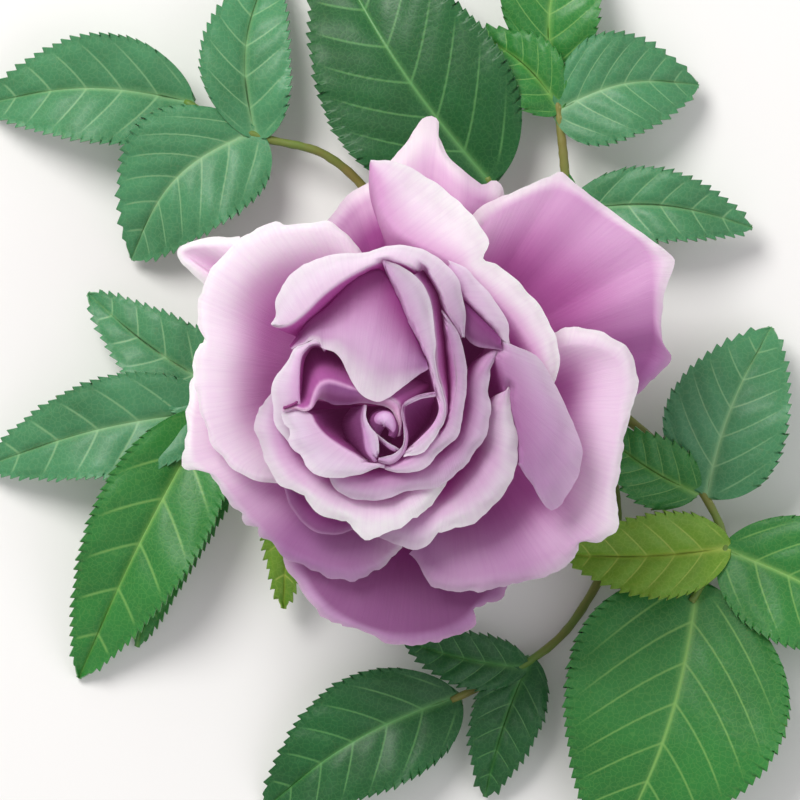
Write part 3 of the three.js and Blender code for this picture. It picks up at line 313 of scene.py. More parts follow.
petal("guard_left_low", GUARD, claw=1, lean=3, rise=5, reach=14, roll=0.5, hollow=0.1, tint="guard_white",
    blush=(0, 0, 0.08, 0.6, 1, 0.95, 0.5), frill=0.6,
    notches=[(-36.6, -9.6, 0.8, 1), (-30.4, -17.8, 1.2, 1), (-27.4, -21.4, 1.3, 0.9)],
    rim=[(-36, 20, 20), (-39.8, 11, 22.6), (-40.4, 0, 24), (-41.3, -8.8, 23), (-36.6, -9.7, 23),
        (-33, -14, 22.8), (-30.4, -18, 21.4), (-27.4, -21, 20.7), (-20, -27, 19), (-11, -31, 18),
        (-3, -30, 18), (2.6, -24.7, 18), (4.8, -22, 17.6)],
    crest=[(-34, 16, 23), (-37.8, 6, 25.3), (-38.5, -6, 25.5), (-33, -11.2, 24.8), (-26.5, -18.8, 23),
        (-18, -25.2, 20.7), (-8, -28.3, 19.8), (-1, -26, 19.1), (2.8, -22, 18.8)])
petal("guard_upper_right", GUARD, lean=3.6, reach=18, roll=0.15, tint="guard_wide",
    blush=(0.1, 0.05, 0.05, 0.25, 0.4, 0.05, 0.05, 0.25, 0.6, 0.9, 1, 1),
    rim=[(15, 40, 19), (18.5, 43.8, 20.5), (27, 47.9, 19.2), (33.6, 50.6, 17.7), (34.8, 51, 17.5),
        (36, 50.3, 17.7), (43, 44.8, 18.5), (52, 38.3, 17.5), (57, 34.4, 15.3), (57.9, 33.3, 15),
        (57.5, 31.8, 15.4), (55.5, 25, 16.4), (55.5, 17, 15.5), (57.3, 13.2, 12.5), (53, 8.5, 11),
        (48, 4, 9)],
    crest=[(17, 38, 20), (24, 43.6, 21), (34.5, 47, 20), (43, 42, 20), (52, 35, 18.5), (53.2, 24, 17.6),
        (52.8, 14, 15.2), (47, 7, 11)])
petal("guard_top", GUARD, claw=1, lean=3.2, reach=15, roll=0.5, tint="guard_top",
    blush=(0.5, 0.5, 0.4, 0.15, 0, 0, 0, 0, 0, 0.15, 0, 0, 0.1, 0.45, 0.5, 0.2, 0),
    rim=[(-14, 40, 15), (-11.9, 41.2, 16), (-10.7, 42.9, 16.4), (-9, 45.3, 17), (-6.5, 47.5, 17.6),
        (-3.1, 49.7, 18), (0.25, 53.1, 17.8), (1.9, 55, 17.4), (4.1, 57.5, 16.6), (5.3, 59.9, 15.6),
        (7.2, 62.3, 14.4), (8.7, 62.8, 14), (9.9, 62.2, 14.2), (10.5, 61, 14.8), (10.3, 59.2, 15.4),
        (11.2, 56.7, 16.2), (12.9, 53.8, 17.2), (16, 50.4, 18.4), (19.4, 48.3, 19), (20.3, 48.9, 19.2),
        (21.6, 49.4, 19.1), (23.1, 48.2, 18.6), (23.6, 46, 17)],
    crest=[(-10, 38.5, 19), (-6, 43.5, 20.5), (-2, 46, 21), (3, 49, 21.4), (8.6, 52, 21.6),
        (12, 49.5, 21.8), (16, 46, 21.8), (20, 44.5, 21.4), (22, 42, 19.5)])
petal("guard_left_tip", GUARD, lean=3.2, reach=14, roll=0.5, tuck=RIM_TUCK, tint="guard_white",
    blush=(0, 0, 0.15, 0.05, 0.2),
    rim=[(-30, 38, 18), (-37, 37.8, 18.6), (-42.7, 35, 15.5), (-39, 30.3, 17), (-33, 24, 17)],
    crest=[(-29, 35, 21), (-36, 35.8, 20.8), (-41.3, 34.6, 16.8), (-37, 31, 19.6), (-32, 26, 19)])
petal("guard_bottom", GUARD, lean=3.6, reach=18, roll=0.3, tint="guard_shaded",
    blush=(0, 0.05, 0.25, 0.6, 0.7), frill=0.4,
    notches=[(-12.8, -39.8, 0.9, 0.8), (-9.8, -40.4, 0.8, 0.7), (17.8, -38.6, 1.5, 1.2)],
    rim=[(-20, -22, 12), (-21, -27.5, 13.3), (-16, -35.6, 14), (-12.8, -39.6, 13), (-7, -40.8, 13),
        (0, -44.6, 12), (10, -43.9, 12), (18, -40, 12), (18.3, -37.2, 12.4), (23, -35, 12.7),
        (24, -30, 12)],
    crest=[(-17, -23, 14), (-15, -31.8, 15.6), (-8, -38.5, 15.3), (2, -41.6, 14.9), (13, -39.5, 14.5),
        (20, -32.4, 14.4), (21, -28, 14)])

HEART_PETALS = ("wrap_left", "wrap_right", "heart_fold", "hood", "tongue_middle", "crescent_inner",
    "crescent_back", "ring_inner", "wall_left", "crescent_outer", "arch")

# A leaf has a stalk and some leaflets. Each leaflet has a base, a tip, a width, how high it arches, how much
# its halves fold up, how far its middle bows to the side, and a green.
LEAVES = {}


def leaf(name, stalk, *leaflets):
    LEAVES[name] = (stalk, leaflets)


leaf("leaf_right", [(30, 22.4, 5.2), (45, 5, 9), (57.5, -6, 10), (65, -14.5, 10), (69.3, -26, 10),
    (65, -32.4, 9.6), (62.4, -36.5, 10.4)],
    ((63.4, -33.5, 9.5), (46, -89, 0.6), 46, 7, 0.1, 3, "mid"),
    ((69.2, -25.4, 10.3), (36, -26.8, 9), 17, 3, 0.35, 1, "young"),
    ((69.8, -26.2, 10.3), (107, -47, 2), 26, 6, 0.15, 2, "mid"),
    ((66, -13.6, 10.5), (79, 20, 6), 25, 6, 0.15, 2, "pale"),
    ((62.5, -13.6, 10.5), (43.5, -1.5, 13), 14, 3, 0.2, 1, "mid"))
leaf("leaf_bottom", [(33, 16.6, 4.4), (44, -4, 3.6), (47, -22, 3.4), (38, -41, 4), (29, -49, 5),
    (13, -57, 6)],
    ((13.4, -56.8, 6), (-26, -80, 0.6), 24, 5, 0.15, -3, "dark"),
    ((27.5, -50, 5.2), (3, -44.5, 6), 11, 3, 0.25, 1, "dark"),
    ((29, -49.4, 5), (20, -77, 2), 14, 3, 0.2, -1, "dark"))
leaf("leaf_left", [(11, 5.5, 9.6), (-2, 3, 8), (-14, 3, 9), (-28, 4, 11), (-36, 2, 12)],
    ((-37, 1.6, 12.3), (-64, -52.5, 0.7), 23, 7, 0.3, -1, "mid"),
    ((-29, 3.6, 11.3), (-52, -46, 1.5), 15, 2, 0.2, -3, "mid"),
    ((-14.5, 2.6, 9.2), (-21.6, -38, 7), 12, 3, 0.25, -2, "young"),
    ((-35.6, 2.6, 12.3), (-84, -9, 2), 20, 6, 0.2, -2, "pale"),
    ((-28.5, 4.6, 11.3), (-62, 27, 5), 17, 4, 0.2, 2, "pale"))
leaf("leaf_upper_left", [(13, 13.4, 6.4), (4, 28, 6), (-3, 46, 7), (-13, 55.5, 9), (-25, 58.8, 10),
    (-33, 61.6, 10), (-42, 66.5, 9)],
    ((-41.4, 66.2, 9.2), (-84, 66, 1), 22, 6, 0.3, -3, "pale"),
    ((-27.6, 59.6, 10.4), (-53, 34, 3), 27, 6, 0.12, -5, "pale"),
    ((-27, 60, 10.4), (-23.5, 96, 2), 18, 5, 0.3, 4, "pale"))
leaf("leaf_top", [(25, 24.4, 5.6), (25, 36, 6), (22.4, 46, 8), (20.4, 51, 9)],
    ((20.6, 50.6, 9.2), (-13, 101, 0.7), 37, 8, 0.12, 2.5, "dark"))
leaf("leaf_upper_right", [(39, 33.6, 5.8), (37.4, 42, 8), (36, 56, 10), (35, 65, 10), (33.6, 76, 9)],
    ((33.8, 75, 9.2), (40, 104, 1), 20, 5, 0.2, 3, "mid"),
    ((35.4, 64.4, 10.3), (64, 70, 5), 22, 4, 0.15, 3, "pale"),
    ((34.6, 65.4, 10.3), (17, 81, 6), 13, 3, 0.2, -2, "mid"),
    ((37.5, 43.5, 9), (75, 40.5, 7), 15, 5, 0.2, 3, "pale"))

STEM_ROUTE = [(6, 7, 15.7), (6.6, 7.4, 12), (9.5, 9.5, 6.6), (15, 13.4, 3.4), (25, 20.5, 3.1), (40, 31, 3.2),
    (58, 43, 3.2)]


def length_of(vectors):
    return np.linalg.norm(vectors, axis=-1, keepdims=True)


def unit(vectors):
    return vectors / (length_of(vectors) + 1e-9)


def run_of(line):
    """How far along a line each of its points lies."""
    return np.concatenate([[0], np.cumsum(length_of(np.diff(line, axis=0))[:, 0])])


def points_at(line, places):
    """The points of a line at some lengths along it."""
    run = run_of(line)
    return np.stack([np.interp(places, run, coordinate) for coordinate in line.T], 1)


def curve_through(points, count):
    """count evenly spaced points on a smooth curve through the given ones."""
    p = np.array(points, float)
    p = np.vstack([2 * p[0] - p[1], p, 2 * p[-1] - p[-2]])
    gap = np.maximum(np.sqrt(length_of(np.diff(p, axis=0))[:, 0]), 1e-6)
    t = np.linspace(0, 1, CURVE_STEPS, endpoint=False)[:, None]
    line = []
    for i in range(1, len(p) - 2):
        a, b, c = gap[i - 1], gap[i], gap[i + 1]
        start = b * ((p[i] - p[i - 1]) / a - (p[i + 1] - p[i - 1]) / (a + b)) + p[i + 1] - p[i]
        end = p[i + 1] - p[i] - b * ((p[i + 2] - p[i]) / (b + c) - (p[i + 2] - p[i + 1]) / c)
        line.append((2 * t**3 - 3 * t**2 + 1) * p[i] + (t**3 - 2 * t**2 + t) * start
            + (3 * t**2 - 2 * t**3) * p[i + 1] + (t**3 - t**2) * end)
    line = np.vstack(line + [p[-2][None]])
    return points_at(line, np.linspace(0, run_of(line)[-1], count))


def bezier(a, b, c, d, t):
    t = t[:, None, None]
    return (1 - t) ** 3 * a + 3 * (1 - t) ** 2 * t * b + 3 * (1 - t) * t**2 * c + t**3 * d


def smooth_step(low, high, value):
    t = np.clip((value - low) / (high - low), 0, 1)
    return t * t * (3 - 2 * t)


def window(start, end, value):
    """1 between two smooth steps, each given by where it starts and ends, and 0 outside them."""
    return smooth_step(*start, value) * (1 - smooth_step(*end, value))


def waves(points, size, seed):
    """A smooth pattern from about -1 to 1 with humps of about the given size."""
    rng = np.random.default_rng(seed)
    total = np.zeros(points.shape[:-1])
    for _ in range(WAVE_COUNT):
        way = rng.normal(size=3)
        way *= math.tau / (size * rng.uniform(*WAVE_SPREAD)) / np.linalg.norm(way)
        total += np.sin(points @ way + rng.uniform(0, math.tau))
    return total / math.sqrt(WAVE_COUNT) / WAVE_PEAK


def grid_normals(grid):
    return unit(np.cross(np.gradient(grid, axis=0), np.gradient(grid, axis=1)))


def blurred(field, passes):
    """A field on a grid after some passes of averaging with its neighbours."""
    for _ in range(passes):
        for axis in (0, 1):
            padded = np.concatenate([field.take([0], axis), field, field.take([-1], axis)], axis)
            count = field.shape[axis]
            field = sum(padded.take(range(k, k + count), axis) * share for k, share in enumerate(BLUR))
    return field


def refined(grid, axis):
    """The grid with one more row or column in the middle of each gap."""
    count = grid.shape[axis]
    middles = (grid.take(range(count - 1), axis) + grid.take(range(1, count), axis)) / 2
    return np.insert(grid, range(1, count), middles, axis)


def both_sides(values, shape):
    """Values on a grid of that shape, for the points on both sides of its sheet."""
    return np.tile(np.broadcast_to(values, shape).ravel(), 2)


def undersides(grid):
    """1 on the lower side of a grid's sheet and 0 on its upper side."""
    first_is_up = grid_normals(grid)[..., 2].sum() > 0
    return np.repeat((0.0, 1.0) if first_is_up else (1.0, 0.0), grid[..., 0].size)


def axis_at(height):
    """The bloom's axis leans from the petals' foot to its heart."""
    return FOOT * (1 - height / HEART_HEIGHT) + UP * height


def torn(rim, inward, petal):
    """How far each point of a rim is drawn in by its frills and its notches."""
    small = FRILL["small_share"] * waves(rim, FRILL["small"], FRILL["seed"] + 1)
    draw = petal["frill"] * (waves(rim, FRILL["size"], FRILL["seed"]) + small)
    for x, y, depth, width in petal["notches"]:
        draw += depth * np.exp(-((rim[:, 0] - x) ** 2 + (rim[:, 1] - y) ** 2) / width**2)
    return inward * draw[:, None]


def claw_line(petal, crest):
    """The foot and belly of a petal: arcs round the bloom's axis that look towards the petal's middle."""
    middle = crest.mean(0)
    heading = math.atan2(middle[1] - FOOT[1], middle[0] - FOOT[0])
    sides = np.arctan2(crest[[0, -1], 1] - FOOT[1], crest[[0, -1], 0] - FOOT[0]) - heading
    sides = np.arctan2(np.sin(sides), np.cos(sides))
    turn = 1 if sides[1] > sides[0] else -1
    angle = heading + turn * np.linspace(-1, 1, len(crest)) * PETAL_SPREAD
    out = np.stack([np.cos(angle), np.sin(angle), np.zeros(len(crest))], 1)
    foot = axis_at(petal["claw"]) + out * petal["foot"]
    belly = foot + UP * petal["rise"] + out * petal["rise"] * petal["lean"]
    under_crest = foot + (crest - foot) * FLAT * 0.95 + UP * petal["rise"] * 0.6
    return foot, belly + (under_crest - belly) * petal["hollow"]


def evened(ways):
    """Directions along an edge, blended with those of their neighbours."""
    return unit(blurred(unit(ways)[None], EVENED_PASSES)[0])


def petal_grid(petal):
    """Rows of points over a petal from foot to rim, and how far along the petal each row is."""
    columns = int(run_of(curve_through(petal["crest"], 200))[-1] / COLUMN_WIDTH)
    columns = max(FEWEST_COLUMNS, min(MOST_COLUMNS, columns))
    rim = curve_through(petal["rim"], columns)
    crest = curve_through(petal["crest"], columns)
    crest[:, 2] = rim[:, 2] + petal["roll"] * (crest[:, 2] - rim[:, 2])
    rim += torn(rim, unit(crest - rim), petal)
    over = rim - crest
    width = length_of(over)
    if "root" in petal:
        foot = curve_through(petal["root"], columns)
        belly = foot + UP * petal["rise"]
        along = evened(over * FLAT + (crest - foot) * FLAT * 0.2)
        aside = (foot - crest) * FLAT
        shoulder = crest + aside * np.minimum(petal["bulge"] / (length_of(aside) + 1e-9), 0.8)
    else:
        foot, belly = claw_line(petal, crest)
        outward = unit((crest - FOOT) * FLAT)
        share = np.clip(width / 2, 0, 1)
        along = evened(over * FLAT * share + outward * (1 - share) * 0.5)
        reach = np.minimum(petal["reach"], 0.45 * length_of(crest - foot))
        broad = smooth_step(5, 15, petal["reach"])
        shoulder = crest - unit(along * (1 - broad) + outward * broad) * reach
    shoulder = shoulder - UP * petal["drop"]
    down = unit(unit(over) - UP * petal["tuck"])
    handle = width * LIP_HANDLE
    wall = bezier(foot, belly, shoulder, crest, np.linspace(0, 1, WALL_ROWS + 1))
    lip = bezier(crest, crest + along * handle, rim - down * handle, rim,
        np.linspace(0, 1, LIP_ROWS + 1) ** LIP_CROWDING)
    lip_rows = np.linspace(CREST_SHARE, 1, LIP_ROWS + 1)[1:]
    rows = np.concatenate([np.linspace(0, CREST_SHARE, WALL_ROWS + 1), lip_rows])
    return np.concatenate([wall, lip[1:]]), rows


def relaxed(grid, rows, passes):
    """The fold at the crest eased a little, with foot and rim left where they are."""
    hold = window((0.25, 0.45), (0.8, 1), rows)
    return grid + (blurred(grid, passes) - grid) * hold[:, None, None]


def living(grid, rows, seed):
    """A petal's own unevenness: broad swells, and a rim that waves a little."""
    edge = smooth_step(CREST_SHARE, 1, rows)[:, None]
    free = smooth_step(0.1, 0.4, rows)[:, None]
    push = SWELL["depth"] * waves(grid, SWELL["size"], seed) * free
    small = RUFFLE["small_share"] * waves(grid, RUFFLE["small"], seed + 2)
    push = push + RUFFLE["depth"] * edge**2 * (waves(grid, RUFFLE["size"], seed + 1) + small)
    return grid + grid_normals(grid) * push[..., None]


class Nest:
    """Keeps each petal below the ones that were laid before it, as petals press on each other."""

    def __init__(self):
        self.cells = int(2 * NEST_REACH / NEST_CELL)
        self.layers = {}

    def cell(self, points):
        at = ((points[..., :2] + NEST_REACH) / NEST_CELL).astype(int)
        return np.clip(at, 1, self.cells - 2)

    def open_layer(self):
        return np.full((self.cells, self.cells), OPEN_SKY)

    def settle(self, grid, rows, over):
        """The grid sunk below all laid petals but those that it lies over."""
        below = [layer for name, layer in self.layers.items() if name not in over]
        ceiling = np.min([self.open_layer()] + below, axis=0)
        at = self.cell(grid)
        beside = ((0, 0), (1, 0), (-1, 0), (0, 1), (0, -1))
        lowest = np.min([ceiling[at[..., 0] + dx, at[..., 1] + dy] for dx, dy in beside], axis=0)
        sink = np.maximum(grid[..., 2] - lowest + (PETAL_THICKNESS / 2 + PETAL_CLEARANCE), 0)
        soft = sink
        for _ in range(SINK_PASSES):
            soft = np.maximum(blurred(soft, 2), sink)
        walls = 1 - smooth_step(SOFT_WALL, CREST_SHARE, rows)[:, None]
        return grid - UP * np.maximum(soft * walls, blurred(sink, 1))[..., None]

    def lay(self, name, grid):
        fine = refined(refined(refined(grid, 0), 1), 0)
        at = self.cell(fine)
        self.layers[name] = self.open_layer()
        np.minimum.at(self.layers[name], (at[..., 0], at[..., 1]), fine[..., 2])


# A skin is given as its points, its faces and its sharp edges


def sheet(grid, thickness):
    """The closed skin of a thin sheet that follows a grid."""
    rows, columns = grid.shape[:2]
    offset = grid_normals(grid) * np.broadcast_to(thickness, (rows, columns))[..., None] / 2
    points = np.concatenate([(grid + offset).reshape(-1, 3), (grid - offset).reshape(-1, 3)])
    count = rows * columns
    number = np.arange(count).reshape(rows, columns)
    top = np.stack([number[:-1, :-1], number[1:, :-1], number[1:, 1:], number[:-1, 1:]], -1).reshape(-1, 4)
    loop = np.concatenate([number[0, :-1], number[:-1, -1], number[-1, :0:-1], number[:0:-1, 0]])
    edge = np.stack([loop, np.roll(loop, -1)], 1)
    side = np.concatenate([edge, edge[:, ::-1] + count], 1)
    faces = np.concatenate([top, top[:, ::-1] + count, side])
    return points, faces.tolist(), np.concatenate([edge, edge + count])


def capped(rings):
    """The closed skin over rings of points, with a fan of triangles at each end."""
    sides = rings.shape[1]
    count = rings.shape[0] * sides
    number = np.arange(count).reshape(-1, sides)
    beside = np.roll(number, -1, axis=1)
    faces = np.stack([number[:-1], beside[:-1], beside[1:], number[1:]], -1).reshape(-1, 4)
    ends = np.stack([rings[0].mean(0), rings[-1].mean(0)])
    first = np.stack([np.full(sides, count), beside[0], number[0]], 1)
    last = np.stack([np.full(sides, count + 1), number[-1], beside[-1]], 1)
    points = np.concatenate([rings.reshape(-1, 3), ends])
    return points, faces.tolist() + first.tolist() + last.tolist(), NO_EDGES


def tube(line, radii, sides, bumps):
    """The closed, slightly uneven skin of a round stalk along a line."""
    way = unit(np.gradient(line, axis=0))
    side = np.cross(way[0], UP if abs(way[0][2]) < 0.9 else (1, 0, 0))
    angle = np.linspace(0, math.tau, sides, endpoint=False)[:, None]
    rings = []
    for here, ahead, radius in zip(line, way, radii):
        side = unit(side - ahead * (side @ ahead))
        rings.append(here + radius * (np.cos(angle) * side + np.sin(angle) * np.cross(ahead, side)))
    rings = np.array(rings)
    return capped(rings + unit(rings - line[:, None]) * bumps(rings)[..., None])


def add_piece(name, node, skin, height, materials, values, places=None, which=None):
    """A piece in a node's place, with its skin in millimetres from the heart and above a height."""
    points, faces, sharp = skin
    mesh = bpy.data.meshes.new(name)
    mesh.from_pydata(((points + HEART + UP * (height - FLOOR)) * MM).tolist(), [], faces)
    mesh.polygons.foreach_set("use_smooth", np.ones(len(mesh.polygons), bool))
    for key, value in values.items():
        mesh.attributes.new(key, "FLOAT", "POINT").data.foreach_set("value", value.astype(np.float32))
    if places is not None:
        corner = np.empty(len(mesh.loops), np.int32)
        mesh.loops.foreach_get("vertex_index", corner)
        layer = mesh.uv_layers.new(name="across_along")
        layer.data.foreach_set("uv", places[corner].astype(np.float32).ravel())
    if len(sharp):
        ends = np.empty(2 * len(mesh.edges), np.int32)
        mesh.edges.foreach_get("vertices", ends)
        have, wanted = (np.sort(edges, axis=1).astype(np.int64) @ (len(points), 1)
            for edges in (ends.reshape(-1, 2), sharp))
        mesh.attributes.new("sharp_edge", "BOOLEAN", "EDGE").data.foreach_set("value", np.isin(have, wanted))
    for material in materials:
        mesh.materials.append(material)
    if which is not None:
        mesh.polygons.foreach_set("material_index", np.array(which, np.int32))
    mesh.update()
    piece = bpy.data.objects.new(name, mesh)
    bpy.context.scene.collection.objects.link(piece)
    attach(piece, "root")
    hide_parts(node)


# Materials


def colour(red, green, blue):
    """A colour as seen on a screen, from 0 to 255, turned into light."""
    return tuple((v / 255) ** 2.2 for v in (red, green, blue)) + (1.0,)


# Mostly painted shade, partly the petals' own deeper tint: the colour that a petal's blush darkens it
# towards.
BLUSH_AND_SHADE_TONE = (0.3, 0.185, 0.32, 1.0)
# Painted glow: every petal glows faintly in this colour, standing in for light that comes through thin
# petals, which also lifts the gaps deep between them.
PAINTED_GLOW = (0.03, 0.005, 0.019, 1.0)  # what comes through thin petals, also deep between them
PETAL_DEEPER = (0.86, 0.74, 0.88, 1.0)
PETAL_PALER = (1.05, 1.09, 1.05, 1.0)
LEAF_DARKER = (0.62, 0.7, 0.6, 1.0)

# How often the patterns repeat: in a millimetre across and along a petal, and in a metre for the rest
PETAL_VEINS = (1.3, 0.05, 1.0)
PETAL_FIBRES = (5.0, 0.22, 1.0)
BLOTCHES = 55.0
PORES = 2600.0
LEAF_PATCHES = 70.0
LEAF_NET = 900.0
LEAF_GRAIN = 1500.0
STALK_PATCHES = 60.0
STALK_GRAIN = 420.0

# A petal's colours at its foot, wall, crest, rim and edge, what its blotches' scale is raised by, and where
# along the petal the wall's colour ends. The dark foot and wall are partly the petal's own deeper colour at
# its base and partly painted shade deep inside the bloom.
PETAL_TINTS = dict(
    # Painted shade: dark walls and crests for the petals deep in the heart, where the tongue and hood shade
    # them.
    deep=((104, 48, 92), (118, 70, 112), (182, 136, 180), (200, 170, 204), (218, 194, 221), 2, 0.52),
    hood=((98, 32, 78), (160, 90, 148), (214, 168, 207), (228, 170, 208), (228, 188, 218), 12, 0.5),
    ring=((96, 32, 76), (134, 70, 122), (220, 184, 216), (232, 208, 234), (244, 230, 246), 14, 0.55),
    heart=((128, 48, 104), (160, 98, 150), (204, 160, 200), (220, 196, 221), (239, 224, 241), 0, 0.5),
    # The dark crest is painted shadow, where the tongue runs under the arch.
    tongue=((140, 48, 112), (146, 66, 130), (150, 70, 134), (208, 168, 205), (246, 226, 245), 1),
    # Painted light: a paler copy for the low lips, which face away from the light.
    lip=((130, 42, 104), (176, 98, 160), (232, 196, 226), (254, 240, 252), (255, 248, 254), 6),
    cheek=((140, 50, 112), (198, 140, 187), (240, 219, 236), (243, 226, 240), (250, 240, 248), 9),
    middle=((140, 48, 112), (186, 112, 171), (209, 166, 203), (225, 201, 225), (236, 219, 238), 3, 0.45),
    pale=((140, 48, 112), (170, 90, 154), (222, 197, 219), (227, 211, 228), (243, 232, 245), 4, 0.52),
    blade=((150, 60, 126), (184, 118, 170), (208, 162, 198), (244, 225, 240), (255, 249, 254), 13),
    shade=((110, 30, 86), (146, 66, 130), (168, 100, 156), (184, 132, 176), (214, 180, 210), 5),
    # Painted shade: a darker copy of a guard's colours for the lowest guard, which turns from the light and
    # lies in shadow.
    guard_shaded=((54, 18, 42), (62, 30, 57), (121, 83, 119), (174, 143, 175), (184, 150, 182), 15),
    guard_pale=((140, 50, 114), (192, 128, 180), (234, 202, 228), (244, 222, 239), (248, 234, 245), 8),
    guard_top=((126, 46, 104), (164, 92, 150), (222, 178, 211), (241, 214, 232), (242, 214, 234), 11, 0.5),
    guard_white=((140, 50, 114), (200, 140, 188), (236, 206, 229), (250, 236, 247), (253, 246, 251), 10),
    guard_wide=((120, 40, 98), (170, 100, 155), (212, 166, 203), (240, 214, 233), (244, 222, 238), 7),
)

# A leaf's colours: its blade, its veins and its underside
LEAF_GREENS = dict(
    mid=((48, 126, 54), (128, 178, 92), (120, 160, 120)),
    dark=((28, 92, 44), (92, 150, 84), (104, 148, 108)),
    young=((112, 158, 44), (176, 196, 92), (150, 180, 96)),
    pale=((72, 138, 92), (136, 182, 128), (132, 170, 136)),
)
CALYX_GREEN = ((84, 128, 58), (126, 160, 92), (150, 178, 128))

# A stalk's colours: its skin, its patches and its specks
STALK_GREEN = ((96, 132, 58), (134, 112, 62), (160, 168, 110))
CUT_WOOD = ((196, 204, 150), (168, 184, 118), (214, 214, 176))


class Graph:
    """A material's nodes, added one after another."""

    def __init__(self, name, **settings):
        self.material = bpy.data.materials.new(name)
        self.material.use_nodes = True
        self.tree = self.material.node_tree
        self.shader = self.tree.nodes["Principled BSDF"]
        for key, value in settings.items():
            self.finish(key, value)

    def finish(self, key, value):
        self.feed(self.shader.inputs[key.replace("_", " ")], value)

    def add(self, kind, inputs=None, **settings):
        made = self.tree.nodes.new(kind)
        for key, value in settings.items():
            setattr(made, key, value)
        for key, value in (inputs or {}).items():
            self.feed(made.inputs[key], value)
        return made

    def feed(self, socket, value):
        if isinstance(value, bpy.types.NodeSocket):
            self.tree.links.new(value, socket)
        else:
            socket.default_value = value

    def place(self):
        return self.add("ShaderNodeTexCoord").outputs["Object"]

    def lengths(self):
        """How far across and along the petal a point lies, in millimetres."""
        return self.add("ShaderNodeUVMap", uv_map="across_along").outputs["UV"]

    def attribute(self, name):
        return self.add("ShaderNodeAttribute", attribute_name=name).outputs["Fac"]

    def noise(self, vector, scale, detail=3.0, roughness=0.5):
        inputs = {"Vector": vector, "Scale": scale, "Detail": detail, "Roughness": roughness}
        return self.add("ShaderNodeTexNoise", inputs).outputs["Fac"]

    def stretched(self, vector, scale):
        return self.add("ShaderNodeVectorMath", {0: vector, 1: scale}, operation="MULTIPLY").outputs[0]

    def cells(self, vector, scale, feature="F1"):
        inputs = {"Vector": vector, "Scale": scale}
        return self.add("ShaderNodeTexVoronoi", inputs, feature=feature).outputs["Distance"]

    def ramp(self, value, stops):
        made = self.add("ShaderNodeValToRGB", {"Fac": value})
        made.color_ramp.interpolation = "EASE"
        elements = made.color_ramp.elements
        while len(elements) < len(stops):
            elements.new(0.5)
        for element, (place, tone) in zip(elements, stops):
            element.position = place
            element.color = tone
        return made.outputs["Color"]

    def level(self, value, low, high, to_low, to_high):
        inputs = {"Value": value, "From Min": low, "From Max": high, "To Min": to_low, "To Max": to_high}
        return self.add("ShaderNodeMapRange", inputs).outputs["Result"]

    def mix(self, factor, one, two, blend="MIX"):
        """Two colours mixed. A Mix node's colour sockets are the inputs 6 and 7 and the output 2."""
        inputs = {"Factor": factor, 6: one, 7: two}
        return self.add("ShaderNodeMix", inputs, data_type="RGBA", blend_type=blend).outputs[2]

    def times(self, one, two):
        return self.mix(1.0, one, two, "MULTIPLY")

    def maths(self, operation, one, two):
        return self.add("ShaderNodeMath", {0: one, 1: two}, operation=operation).outputs[0]

    def bump(self, height, distance, strength, normal=None):
        inputs = {"Height": height, "Distance": distance, "Strength": strength}
        if normal is not None:
            inputs["Normal"] = normal
        return self.add("ShaderNodeBump", inputs).outputs["Normal"]


def petal_material(name, foot, wall, crest, rim, edge, blotch_shift, wall_end=0.35):
    # Each petal glows faintly: painted light for the light that comes through it.
    g = Graph(name, Subsurface_Weight=0.5, Subsurface_Scale=0.003, Specular_IOR_Level=0.2,
        Subsurface_Radius=(1.0, 0.55, 0.9), Emission_Color=PAINTED_GLOW, Emission_Strength=1.0)
    lengths = g.lengths()
    veins = g.noise(g.stretched(lengths, PETAL_VEINS), 1.0, 4.0, 0.6)
    fine = g.noise(g.stretched(lengths, PETAL_FIBRES), 1.0, 3.0, 0.55)
    blotches = g.noise(g.place(), BLOTCHES + blotch_shift)
    stops = zip((0.0, wall_end, CREST_SHARE, 0.9, 1.0), (colour(*c) for c in (foot, wall, crest, rim, edge)))
    tone = g.ramp(g.attribute("along"), list(stops))
    deeper = g.times(tone, PETAL_DEEPER)
    paler = g.times(tone, PETAL_PALER)
    tone = g.mix(g.level(veins, 0.42, 0.7, 0.0, 0.36), tone, deeper)
    tone = g.mix(g.level(blotches, 0.45, 0.75, 0.0, 0.6), tone, paler)
    # Mostly painted shade, partly the petal's own deeper tint: the blush darkens the colour.
    g.finish("Base Color", g.mix(g.attribute("blush"), tone, g.times(tone, BLUSH_AND_SHADE_TONE)))
    g.finish("Roughness", g.level(fine, 0.3, 0.7, 0.5, 0.68))
    normal = g.bump(veins, 0.00018, 0.4)
    normal = g.bump(fine, 0.0001, 0.5, normal)
    g.finish("Normal", g.bump(g.noise(g.place(), PORES, 2.0), 0.00003, 0.4, normal))
    return g.material


def leaf_material(name, blade, vein, under):
    blade, vein, under = (colour(*c) for c in (blade, vein, under))
    g = Graph(name, Specular_IOR_Level=0.45, Subsurface_Weight=0.12, Subsurface_Scale=0.001)
    place = g.place()
    patches = g.noise(place, LEAF_PATCHES, 4.0)
    net = g.cells(place, LEAF_NET, "DISTANCE_TO_EDGE")
    tone = g.mix(g.level(patches, 0.35, 0.7, 0.0, 0.8), blade, g.times(blade, LEAF_DARKER))
    tone = g.mix(g.level(net, 0.0, 0.1, 0.16, 0.0), tone, vein)
    from_rib = g.maths("PINGPONG", g.attribute("ribs"), 0.5)
    rib_line = g.maths("MULTIPLY", g.level(from_rib, 0.01, 0.055, 0.6, 0.0), g.attribute("rib_show"))
    tone = g.mix(rib_line, tone, vein)
    tone = g.mix(g.attribute("vein"), tone, vein)
    g.finish("Base Color", g.mix(g.attribute("under"), tone, under))
    g.finish("Roughness", g.level(patches, 0.3, 0.7, 0.4, 0.55))
    normal = g.bump(g.level(net, 0.0, 0.25, 0.0, 1.0), 0.00006, 0.2)
    g.finish("Normal", g.bump(g.noise(place, LEAF_GRAIN), 0.00006, 0.5, normal))
    return g.material


